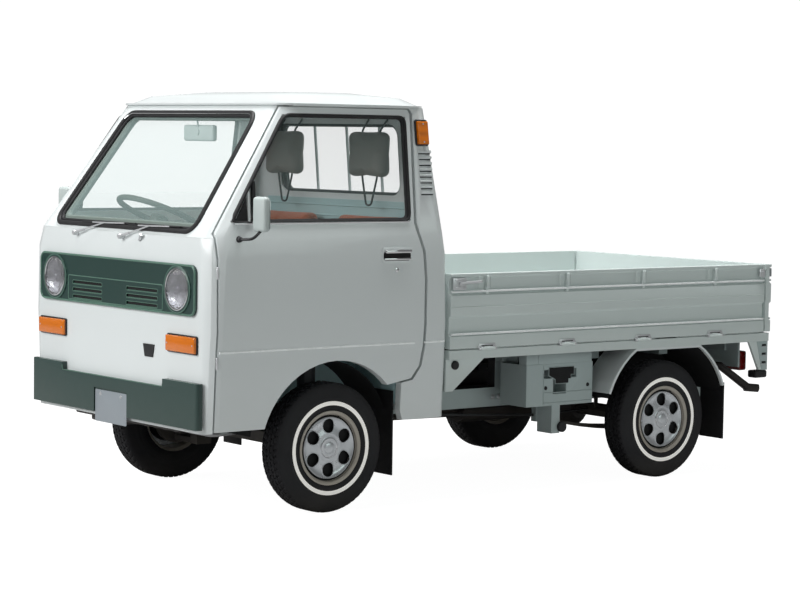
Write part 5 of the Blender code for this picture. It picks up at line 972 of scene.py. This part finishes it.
rim_loop = [on_wheel(STEERING_RADIUS * math.cos(math.tau * i / 72),
    STEERING_RADIUS * math.sin(math.tau * i / 72), 0) for i in range(72)]
spokes = [tube([on_wheel(0, 0, -0.03), on_wheel(0.06 * c, 0.06 * s, -0.026),
    on_wheel(0.172 * c, 0.172 * s, -0.001)], 0.0085, bend=0.03) for c, s in ((1, 0.25), (-1, 0.25), (0.0, 1.0))]
grips = [tube([on_wheel(STEERING_RADIUS * math.cos(a), STEERING_RADIUS * math.sin(a), 0) for a in (t - 0.006,
    t + 0.006)], 0.0122) for t in [math.tau * (i + 0.5) / 36 for i in range(36)]]
hub = lathe([(0, 0.002), (0.02, 0.0), (0.034, -0.006), (0.038, -0.014), (0.034, -0.045), (0, -0.048)],
    wheel_middle, out, 40)
lining = [slab([(-0.5, 1.06), (0.5, 1.06), (0.5, 1.176), (-0.5, 1.176)], lambda a, b,
    c: (a, back_skin(b) - 0.04 - c, b), 0.003, 0.001)]
lining += [tube([(-0.5, back_skin(z) - 0.0435, z), (0.5, back_skin(z) - 0.0435, z)], 0.0035) for z in (1.108,
    1.15)]
put("cab_back_lining", lining, paint_in)
put("wheel_to_steer", [tube(rim_loop, 0.0115, closed=True), hub] + spokes + grips,
    finish("wheel_rim_plastic", srgb(58, 62, 52), 0.35, grain=(200.0, 0.2)), "steering",
    replaces=("steering_wheel",))
put("column_shroud", tube([on_wheel(0, 0, -0.06), on_wheel(0, 0, -0.16)], 0.026), black)
levers = [tube([on_wheel(s * 0.02, 0.01, -0.085), on_wheel(s * 0.1, -0.01, -0.07),
    on_wheel(s * 0.135, -0.012, -0.066)], 0.0045, bend=0.02) for s in (1, -1)]
put("column_levers", levers, black)

dials = []
for x, r in ((-0.36, 0.045), (-0.24, 0.045)):
    dials.append((lathe([(0, 0.001), (r, 0.001), (r + 0.002, 0.006), (r + 0.006, 0.005), (r + 0.007, -0.002),
        (0, -0.002)], (x, -1.2465, 0.965), (0, 1, 0), 40), 0))
    dials.append((box((x - 0.0015, -1.245, 0.965), (x + 0.0015, -1.244, 0.965 + r * 0.8)), 1))
    dials += [(box((x + r * 0.85 * math.sin(a) - 0.001, -1.2452, 0.965 + r * 0.85 * math.cos(a) - 0.003),
        (x + r * 0.85 * math.sin(a) + 0.001, -1.2444, 0.965 + r * 0.85 * math.cos(a) + 0.003)),
        1) for a in [math.radians(-120 + 24 * i) for i in range(11)]]
put("dials", dials, [black, grey_plastic])
board = [box((0.16, -1.248, 0.845), (0.5, -1.2425, 0.985), 0.003),
    box((-0.1, -1.248, 0.9), (0.1, -1.243, 0.985), 0.003)]
board += [box((-0.085, -1.2435, 0.912 + 0.016 * i), (0.085, -1.2415, 0.918 + 0.016 * i),
    0.0008) for i in range(4)]
board += [rod((x, -1.247, 0.868), (x, -1.236, 0.868), 0.011, 0.009, sides=24, bevel=0.001) for x in (-0.07,
    -0.02, 0.03, 0.08)]
board += [box((0.29, -1.244, 0.965), (0.37, -1.2385, 0.975), 0.002)]
put("dash_panels", board, black)
# painted shade in the vent openings
vents = [box((x - 0.045, -1.425, 1.03), (x + 0.045, -1.385, 1.0325), 0.0008) for x in (-0.42, 0, 0.42)]
put("dash_vents", vents, shade_black)
visors = [box((s * 0.3 - 0.17, -1.125, 1.5), (s * 0.3 + 0.17, -1.01, 1.514), 0.006,
    turn=Matrix.Rotation(math.radians(6), 3, "X")) for s, _ in SIDES]
put("sun_visors", visors + [tube([(-0.49, -1.128, 1.509), (0.49, -1.128, 1.509)], 0.004)], grey_plastic)
put("header_rail", tube([(x, screen_y(1.515) + 0.03, 1.52) for x in (-0.45, 0.45)], 0.012), paint_in)
put("gear_lever", [tube([(0.0, -0.93, 0.5), (0.0, -0.96, 0.66), (0.0, -0.99, 0.8)], 0.006, bend=0.04),
    lathe([(0, 0.018), (0.011, 0.014), (0.015, 0.004), (0.012, -0.01), (0.006, -0.014), (0, -0.014)],
    (0.0, -0.992, 0.81), (0, -0.2, 1), 24),
    lathe([(0, 0.045), (0.01, 0.045), (0.02, 0.03), (0.028, 0.012), (0.042, 0.0), (0, 0.0)],
    (0.0, -0.955, 0.632), (0, 0, 1), 28)], black)
put("hand_brake", [tube([(0.045, -0.74, 0.632), (0.045, -0.76, 0.68), (0.045, -0.9, 0.735)], 0.007, bend=0.02),
    tube([(0.045, -0.88, 0.727), (0.045, -0.97, 0.7625)], 0.0105)], black)
pedals = []
for x in (-0.42, -0.32, -0.22):
    pedals += [tube([(x, -1.36, 0.8), (x, -1.33, 0.62), (x, -1.31, 0.515)], 0.006, bend=0.05),
        box((x - 0.028, -1.312, 0.485), (x + 0.028, -1.296, 0.54), 0.004,
        turn=Matrix.Rotation(math.radians(-18), 3, "X"))]
put("pedals", pedals, black)

for side, hand in SIDES:
    body = "door_" + hand
    x0 = side * (HALF - 0.031)
    card = slab(rounded((-1.28, -0.56), (0.66, 1.03), 0.04), lambda a, b, c: (x0 - side * c, a, b), 0.002,
        0.0008)
    put("door_card_" + hand, card, vinyl, body)
    hold = [tube([(x0 - side * 0.002, -1.02, 0.86), (x0 - side * 0.03, -1.0, 0.87),
        (x0 - side * 0.03, -0.86, 0.87), (x0 - side * 0.002, -0.84, 0.86)], 0.0075, bend=0.02)]
    crank = [rod((x0 - side * 0.002, -1.14, 0.8), (x0 - side * 0.018, -1.14, 0.8), 0.017, sides=28,
        bevel=0.002), tube([(x0 - side * 0.016, -1.14, 0.8), (x0 - side * 0.026, -1.07, 0.825)], 0.0055),
        rod((x0 - side * 0.024, -1.068, 0.826), (x0 - side * 0.046, -1.068, 0.826), 0.0095, sides=20,
        bevel=0.002)]
    latch = [box((x0 - side * 0.002, -0.735, 0.935), (x0 - side * 0.01, -0.655, 0.972), 0.003),
        box((x0 - side * 0.01, -0.728, 0.945), (x0 - side * 0.018, -0.67, 0.962), 0.003)]
    put("door_pull_" + hand, hold + crank + latch, black, body)


# ---- cab outside: side lamps, louvres, door hinges, creases, rain gutters

for side, hand in SIDES:
    low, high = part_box("side_lamp_" + hand)
    edge = [(side * (skin_x(z) + 0.004), y, z) for y,
        z in rounded((low.y - 0.003, high.y + 0.003), (low.z - 0.003, high.z + 0.003), 0.006, 4)]
    put("side_lamp_base_" + hand, tube(edge, 0.0045, closed=True), black)
    top = [rod((side * (skin_x(z) + 0.016), -0.462, z), (side * (skin_x(z) + 0.0205), -0.462, z), 0.0032,
        sides=12) for z in (1.415, 1.485)]
    put("side_lamp_screws_" + hand, top, zinc)
    hoods, holes = [], []
    for i in range(8):
        z = 1.214 + 0.0225 * i
        x = side * skin_x(z)
        hoods.append(tube([(x + side * 0.0015, -0.484, z + 0.0058), (x + side * 0.004, -0.476, z + 0.0062),
            (x + side * 0.004, -0.428, z + 0.0062), (x + side * 0.0015, -0.42, z + 0.0058)], 0.0023,
            bend=0.006))
        # painted shade: a near-black box under each louvre hood
        holes.append(box((x - side * 0.004, -0.481, z - 0.0048), (x + side * 0.0007, -0.423, z + 0.0046)))
    put("louvre_hoods_" + hand, hoods, paint)
    put("louvre_shade_" + hand, holes, shade_black)
    hinge = []
    for z in (0.6, 0.93):
        hinge += [rod((side * (HALF - 0.01), -1.4315, z - 0.022), (side * (HALF - 0.01), -1.4315, z + 0.022),
            0.0055, sides=16, bevel=0.001)]
    put("door_hinges_" + hand, hinge, zinc)
    # painted highlight: the crease lines are tubes in the lighter crease paint
    crease_x = side * (skin_x(0.6385) + 0.0001)
    crease = tube([(crease_x, -1.425, CREASE_Z), (crease_x, -0.52, CREASE_Z)], 0.0042)
    put("crease_door_" + hand, crease, crease_highlight, "door_" + hand)
    tail = tube([(crease_x, -0.474, CREASE_Z), (crease_x, -0.372, CREASE_Z)], 0.0042)
    put("crease_cab_" + hand, tail, crease_highlight)
    gutter = [(side * (skin_x(1.543) + 0.0005), y, 1.5455) for y in (-1.06, -0.5)]
    put("rain_gutter_" + hand, tube(gutter, 0.003), paint)


# ---- load bed: gate rims, hook strips, hinge plates, latches

HOOKS = (-0.148, 0.28, 0.708, 1.136)
for side, hand in SIDES:
    body = "gate_" + hand

    def at(x, y, z):
        return (side * x, y, z)

    rolled = tube([at(0.6285, -0.332, 0.8955), at(0.6285, 1.439, 0.8955)], 0.0042)
    # the two crease lines carry the painted highlight
    creases = [tube([at(0.6325, -0.33, z), at(0.6325, 1.437, z)], 0.0046) for z in (0.83, 0.662)]
    fold = tube([at(0.633, -0.33, 0.768), at(0.633, 1.437, 0.768)], 0.0028)
    put("gate_rim_" + hand, [(rolled, 0), (fold, 0)] + [(line, 1) for line in creases],
        [bed_paint, crease_highlight], body)
    hooks, darks = [], []
    for y in HOOKS:
        hooks.append(box(at(0.634, y - 0.007, 0.8405), at(0.6415, y + 0.007, 0.8905), 0.0034, segments=3))
        hooks.append(box(at(0.634, y - 0.046, 0.842), at(0.6362, y - 0.041, 0.89), 0.001))
        # painted shadow: a thin dark strip beside each hook strip
        darks.append(box(at(0.634, y + 0.0075, 0.843), at(0.6353, y + 0.0115, 0.888)))
    put("hook_strips_" + hand, hooks, bed_paint, body)
    put("hook_shadows_" + hand, darks, rubber, body)
    plates = []
    for y in HOOKS:
        outline = [(y - 0.05, 0.604), (y + 0.05, 0.604), (y + 0.04, 0.622), (y - 0.04, 0.622)]
        plates.append(slab(outline, lambda a, b, c: at(0.6352 + c, a, b), 0.0022, 0.0006))
    plates += [rod(at(0.6405, y - 0.046, 0.6), at(0.6405, y + 0.046, 0.6), 0.0052, sides=16,
        bevel=0.0008) for y in HOOKS]
    put("hinge_plates_" + hand, plates, zinc, body)
    # painted shade in the hinge slits
    slits = [box(at(0.6374, y - 0.03, 0.6105), at(0.638, y + 0.03, 0.6145)) for y in HOOKS]
    put("hinge_slits_" + hand, slits, shade_black, body)
    latch = [box(at(0.635, -0.33, 0.838), at(0.642, -0.262, 0.884), 0.003),
        box(at(0.635, -0.322, 0.872), at(0.6455, -0.29, 0.88), 0.002),
        box(at(0.635, -0.322, 0.844), at(0.6455, -0.29, 0.852), 0.002)]
    latch += [rod(at(0.64, -0.306, 0.842), at(0.64, -0.306, 0.884), 0.0045, sides=16),
        tube([at(0.6405, -0.3, 0.862), at(0.6415, -0.25, 0.865), at(0.641, -0.185, 0.868)], 0.0058, bend=0.03)]
    latch += bolt(at(0.642, -0.272, 0.846), at(1, 0, 0), 0.004, 0.003)
    rear = [box(at(0.635, 1.405, 0.846), at(0.641, 1.437, 0.88), 0.003),
        rod(at(0.64, 1.424, 0.842), at(0.64, 1.424, 0.886), 0.004, sides=16),
        box(at(0.64, 1.404, 0.862), at(0.645, 1.434, 0.869), 0.002)]
    put("gate_latch_" + hand, latch + rear, zinc, body)
    ribs = [box(at(0.5985, -0.325, z), at(0.6002, 1.432, z + 0.006), 0.0008) for z in (0.7, 0.8)]
    put("gate_inner_ribs_" + hand, ribs, bed_paint, body)

tail_looks = [tube([(-0.63, 1.4785, 0.8955), (0.63, 1.4785, 0.8955)],
    0.0042)] + [tube([(-0.63, 1.4828, z), (0.63, 1.4828, z)], 0.004) for z in (0.83, 0.768, 0.662)]
put("tailgate_rim", tail_looks, bed_paint, "tailgate")
tail_plates = []
for x in (-0.54, -0.18, 0.18, 0.54):
    tail_plates.append(slab([(x - 0.05, 0.604), (x + 0.05, 0.604), (x + 0.04, 0.622), (x - 0.04, 0.622)],
        lambda a, b, c: (a, 1.4852 + c, b), 0.0022, 0.0006))
    tail_plates.append(rod((x - 0.046, 1.4905, 0.6), (x + 0.046, 1.4905, 0.6), 0.0052, sides=16, bevel=0.0008))
for side, _ in SIDES:
    tail_plates += [box((side * 0.585, 1.4842, 0.845), (side * 0.63, 1.4905, 0.882), 0.003),
        tube([(side * 0.6, 1.4915, 0.864), (side * 0.52, 1.492, 0.866)], 0.0045)]
put("tailgate_plates", tail_plates, zinc, "tailgate")
head_rail = [tube([(-0.56, -0.329, 0.8965), (0.56, -0.329, 0.8965)], 0.0034)]
head_rail += [box((x - 0.015, -0.3185, 0.625), (x + 0.015, -0.3155, 0.885), 0.001) for x in (-0.42, -0.14, 0.14,
    0.42)]
put("headboard_ribs", head_rail, bed_paint)


# ---- below the bed: battery box, wheel arches, frame, tail lamps and brackets, flaps, pipes, engine, tank

notch = [(0.215, 0.497), (0.355, 0.497), (0.355, 0.463), (0.338, 0.463), (0.338, 0.446), (0.325, 0.446),
    (0.325, 0.428), (0.25, 0.428), (0.25, 0.446), (0.215, 0.463)]
# painted shade: a near-black slab in the battery box notch
put("battery_box_notch_shade", slab([(a + 0.045, b) for a, b in notch], lambda a, b, c: (0.5503 + c, a, b), 0.0006),
    shade_black)
put("battery_box_lip", tube([(0.5506, a + 0.045, b) for a, b in notch], 0.0018, closed=True), frame_paint)
put("battery_box_plugs", [lathe([(0, 0.004), (0.006, 0.0035), (0.0085, 0.0), (0, 0.0)], (0.5503, y, z),
    (1, 0, 0), 24) for y, z in ((0.245, 0.412), (0.478, 0.416))] + [rod((0.5485, 0.332, 0.248),
    (0.564, 0.332, 0.248), 0.022, sides=28, bevel=0.003)], rubber)
folds = [tube([(0.5506, 0.235, z), (0.5506, 0.498, z)], 0.002) for z in (0.392,
    0.35)] + [tube([(0.5506, 0.232, 0.345), (0.5506, 0.232, 0.505)], 0.0018)]
put("battery_box_folds", folds, frame_paint)
hanger = [box((0.544, 0.205, 0.505), (0.549, 0.5, 0.56), 0.001),
    box((0.5, 0.14, 0.505), (0.5485, 0.205, 0.56), 0.002),
    box((0.392, 0.142, 0.505), (0.396, 0.5, 0.56), 0.001)]
put("battery_box_hanger", hanger, frame_paint)


def arch_shade_sheet(y, radius, inner, outer, reach):
    """A sheet of painted shade bent round a wheel."""
    angles = [math.radians(90 - reach + 2 * reach * i / 24) for i in range(25)]
    outline = [(y + radius * math.cos(a), AXLE_Z + radius * math.sin(a)) for a in angles]
    outline += [(y + (radius - 0.002) * math.cos(a),
        AXLE_Z + (radius - 0.002) * math.sin(a)) for a in angles[::-1]]
    return slab(outline, lambda a, b, c: (inner + c, a, b), outer - inner)


shade_sheets = []
for side, _ in SIDES:
    shade_sheets += [arch_shade_sheet(FRONT_AXLE_Y, 0.332, side * 0.322, side * 0.535, 80),
        arch_shade_sheet(REAR_AXLE_Y, 0.3535, side * 0.322, side * 0.612, 72)]
    # the arches' inner walls are painted shade too
    for y, radius in ((FRONT_AXLE_Y, 0.331), (REAR_AXLE_Y, 0.353)):
        wall = [(y + radius * math.cos(math.radians(t)),
            AXLE_Z + radius * math.sin(math.radians(t))) for t in range(16, 165, 4)]
        shade_sheets.append(slab(wall, lambda a, b, c: (side * 0.3225 + c, a, b), side * 0.002))
put("arch_shade_sheets", shade_sheets, shade_black)
tray = [box((-0.4, -1.415, 0.318), (0.36, -1.16, 0.338), 0.006),
    box((-0.34, -1.38, 0.292), (-0.12, -1.2, 0.32), 0.008)]
tray += [box((-0.05 + 0.07 * i, -1.4, 0.314), (-0.03 + 0.07 * i, -1.17, 0.3185), 0.001) for i in range(6)]
put("front_tray", tray, satin)
put("stabiliser_bar", tube([(-0.27, -1.06, 0.29), (-0.25, -1.19, 0.28), (0.25, -1.19, 0.28),
    (0.27, -1.06, 0.29)], 0.0085, bend=0.04), zinc)

for side, hand in SIDES:
    put("bed_buffer_" + hand, [lathe([(0, 0.01), (0.014, 0.0095), (0.0175, 0.006), (0.018, 0.0), (0, 0.0)],
        (side * 0.608, -0.289, 0.538), (side, 0, 0), 28)], rubber)
    fasteners = []
    for y in (-0.2375, 0.167, 0.571, 1.38):
        fasteners += bolt((side * 0.3205, y - 0.012, 0.36), (side, 0, 0), 0.007, 0.005)
        fasteners += bolt((side * 0.3205, y + 0.02, 0.36), (side, 0, 0), 0.007, 0.005)
    put("frame_bolts_" + hand, fasteners, zinc)
    posts = []
    for y in (0.172, 0.212, 0.25):
        posts.append(box((side * 0.36, y, 0.4), (side * 0.3725, y + 0.01, 0.556), 0.001))
    posts.append(box((side * 0.356, 0.168, 0.4), (side * 0.36, 0.264, 0.556)))
    put("bed_posts_" + hand, posts, frame_paint)
    low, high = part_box("tail_lamp_" + hand)
    edge = [(x, high.y - 0.002, z) for x,
        z in rounded((low.x + 0.003, high.x - 0.003), (low.z + 0.003, high.z - 0.003), 0.006, 4)]
    split = [box((side * x - 0.001, high.y - 0.001, low.z + 0.004),
        (side * x + 0.001, high.y + 0.0015, high.z - 0.004)) for x in (0.405, 0.47)]
    put("tail_lamp_bezel_" + hand, [tube(edge, 0.0032, closed=True)] + split, black)
    bracket = [(1.425, 0.572), (1.4965, 0.572), (1.4965, 0.432), (1.462, 0.432)]
    x0 = side * 0.606
    put("tail_bracket_" + hand, [slab(bracket, lambda a, b, c: (x0 + side * c, a, b), 0.004, 0.001),
        slab([(a, b) for a, b in ((1.4925, 0.572), (1.4965, 0.572), (1.4965, 0.432), (1.4925, 0.432))],
        lambda a, b, c: (x0 - side * c, a, b), 0.045)], frame_paint)
    # painted shade in the bracket's slits
    put("tail_bracket_slits_" + hand,
        [box((x0 + side * 0.0035, 1.46, z), (x0 + side * 0.0048, 1.486, z + 0.009), 0.0003) for z in (0.462,
        0.5, 0.538)], shade_black)
    put("tail_bracket_lips_" + hand,
        [tube([(x0 + side * 0.005, 1.455, z), (x0 + side * 0.005, 1.49, z)], 0.0018) for z in (0.458, 0.496,
        0.534)], zinc)
    put("tail_stop_" + hand, box((side * 0.56, 1.423, 0.398), (side * 0.612, 1.497, 0.431), 0.008, segments=3),
        rubber)
    flap = []
    for place in ("front", "rear"):
        low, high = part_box(f"mudflap_{place}_{hand}")
        flap.append(box((low.x + 0.004, high.y, high.z - 0.03),
            (high.x - 0.004, high.y + 0.0028, high.z - 0.012), 0.0008))
        for x in (low.x + 0.02, (low.x + high.x) / 2, high.x - 0.02):
            flap += bolt((x, high.y + 0.0026, high.z - 0.021), (0, 1, 0), 0.0045, 0.003)
    put("mudflap_strips_" + hand, flap, zinc)
    put("spring_clips_" + hand, [box((side * 0.3505, y, 0.285), (side * 0.3505 + side * 0.006, y + 0.02, 0.345),
        0.001) for y in (0.7, 1.02)], satin)

tips = tube([(0.545, 1.425, 0.3525), (0.5605, 1.462, 0.349), (0.569, 1.484, 0.347)], 0.0185)
put("tailpipe_tip", tips, pipe_metal)
cables = [tube([(0.3, -0.3, 0.31), (0.34, 0.0, 0.295), (0.33, 0.4, 0.27), (0.2, 0.8, 0.26)], 0.0055, bend=0.1),
    tube([(-0.18, -0.55, 0.33), (-0.22, 0.1, 0.29), (-0.2, 0.62, 0.28)], 0.0045, bend=0.1),
    tube([(-0.26, -0.9, 0.42), (-0.262, 0.3, 0.43), (-0.262, 1.3, 0.43)], 0.004, bend=0.1)]
put("brake_lines", cables, black)
low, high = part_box("engine_block")
engine = [box((low.x - 0.006, low.y + 0.05 + 0.085 * i, high.z - 0.1),
    (high.x + 0.006, low.y + 0.075 + 0.085 * i, high.z - 0.02), 0.004) for i in range(5)]
engine += sum([bolt((x, y, low.z + 0.002), (0, 0, -1), 0.008, 0.007) for x in (-0.15, -0.05, 0.05,
    0.15) for y in (low.y + 0.03, high.y - 0.03)], [])
put("engine_fins", engine, iron)
low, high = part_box("fuel_tank")
straps = []
for y in (0.14, 0.44):
    straps += [box((low.x - 0.0022, y, low.z + 0.01), (low.x, y + 0.028, high.z - 0.01)),
        box((low.x, y, low.z - 0.0022), (high.x, y + 0.028, low.z))]
    straps += bolt((low.x - 0.0022, y + 0.014, low.z + 0.03), (-1, 0, 0), 0.005, 0.004)
straps.append(tube([(low.x - 0.0005, 0.1, (low.z + high.z) / 2), (low.x - 0.0005, 0.5, (low.z + high.z) / 2)],
    0.003))
put("tank_straps", straps, satin)
put("tank_cap", lathe([(0, 0.02), (0.02, 0.02), (0.024, 0.016), (0.025, 0.004), (0.02, 0.0), (0, 0.0)],
    (low.x, 0.3, high.z - 0.045), (-1, 0, 0), 32), black)


# ---- room, light and camera

floor = bpy.data.objects.new("studio_floor", bpy.data.meshes.new("studio_floor"))
ground = bmesh.new()
bmesh.ops.create_grid(ground, x_segments=1, y_segments=1, size=40)
bmesh.ops.translate(ground, vec=(0, 0, -0.001), verts=ground.verts)
ground.to_mesh(floor.data)
ground.free()
bpy.context.scene.collection.objects.link(floor)
floor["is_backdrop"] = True
floor_look = bpy.data.materials.new("studio_floor")
floor_look.use_nodes = True
nodes, links = floor_look.node_tree.nodes, floor_look.node_tree.links
plain = nodes["Principled BSDF"]
plain.inputs["Base Color"].default_value = (0.42, 0.42, 0.42, 1)
plain.inputs["Roughness"].default_value = 0.9
plain.inputs["Specular IOR Level"].default_value = 0.1
glow = nodes.new("ShaderNodeEmission")
glow.inputs["Color"].default_value = (1, 1, 1, 1)
glow.inputs["Strength"].default_value = 1.74
ray = nodes.new("ShaderNodeLightPath")
blend_by = nodes.new("ShaderNodeMath")
blend_by.operation = "MULTIPLY"
blend_by.inputs[1].default_value = 0.56
links.new(ray.outputs["Is Camera Ray"], blend_by.inputs[0])
mix = nodes.new("ShaderNodeMixShader")
links.new(blend_by.outputs[0], mix.inputs[0])
links.new(plain.outputs[0], mix.inputs[1])
links.new(glow.outputs[0], mix.inputs[2])
links.new(mix.outputs[0], nodes["Material Output"].inputs["Surface"])
floor.data.materials.append(floor_look)

world = bpy.data.worlds.new("studio")
bpy.context.scene.world = world
world.use_nodes = True
nodes, links = world.node_tree.nodes, world.node_tree.links
backdrop = nodes["Background"]
backdrop.inputs["Color"].default_value = (1, 1, 1, 1)
ray = nodes.new("ShaderNodeLightPath")
seen = nodes.new("ShaderNodeMath")
seen.operation = "MAXIMUM"
links.new(ray.outputs["Is Camera Ray"], seen.inputs[0])
links.new(ray.outputs["Is Transmission Ray"], seen.inputs[1])
strength = nodes.new("ShaderNodeMapRange")
strength.inputs["To Min"].default_value, strength.inputs["To Max"].default_value = 0.18, 1.05
links.new(seen.outputs[0], strength.inputs["Value"])
links.new(strength.outputs[0], backdrop.inputs["Strength"])


def softbox(name, place, aim, size, power, colour=(1, 1, 1)):
    lamp = bpy.data.lights.new(name, "AREA")
    lamp.shape, lamp.size, lamp.size_y, lamp.energy, lamp.color = "RECTANGLE", size[0], size[1], power, colour
    obj = bpy.data.objects.new(name, lamp)
    bpy.context.scene.collection.objects.link(obj)
    obj.location = place
    obj.rotation_euler = (Vector(aim) - Vector(place)).to_track_quat("-Z", "Y").to_euler()
    return obj


softbox("key", (-1.0, -7.0, 3.6), (0, -0.8, 0.8), (4.5, 3.0), 340)
softbox("top", (0.0, 0.0, 8.0), (0, 0, 0.6), (3.0, 5.0), 760)
softbox("side", (7.5, 1.5, 2.4), (0, 0, 0.7), (5.0, 2.5), 48, (0.86, 1.0, 0.95))

yaw, pitch, roll = math.radians(51.878), math.radians(-4.009), math.radians(0.877)
ahead = Vector((-math.sin(yaw) * math.cos(pitch), math.cos(yaw) * math.cos(pitch), math.sin(pitch)))
right = Vector((math.cos(yaw), math.sin(yaw), 0))
up = right.cross(ahead)
right, up = right * math.cos(roll) + up * math.sin(roll), up * math.cos(roll) - right * math.sin(roll)
lens_data = bpy.data.cameras.new("camera")
lens_data.sensor_width = 36.0
lens_data.lens = CAMERA_LENS
lens_data.clip_end = 200
camera = bpy.data.objects.new("camera", lens_data)
bpy.context.scene.collection.objects.link(camera)
camera.matrix_world = Matrix((
    (right.x, up.x, -ahead.x, CAMERA_PLACE[0]), (right.y, up.y, -ahead.y, CAMERA_PLACE[1]),
        (right.z, up.z, -ahead.z, CAMERA_PLACE[2]), (0, 0, 0, 1)))
bpy.context.scene.camera = camera
bpy.context.scene.view_settings.view_transform = "Standard"

low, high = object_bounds()
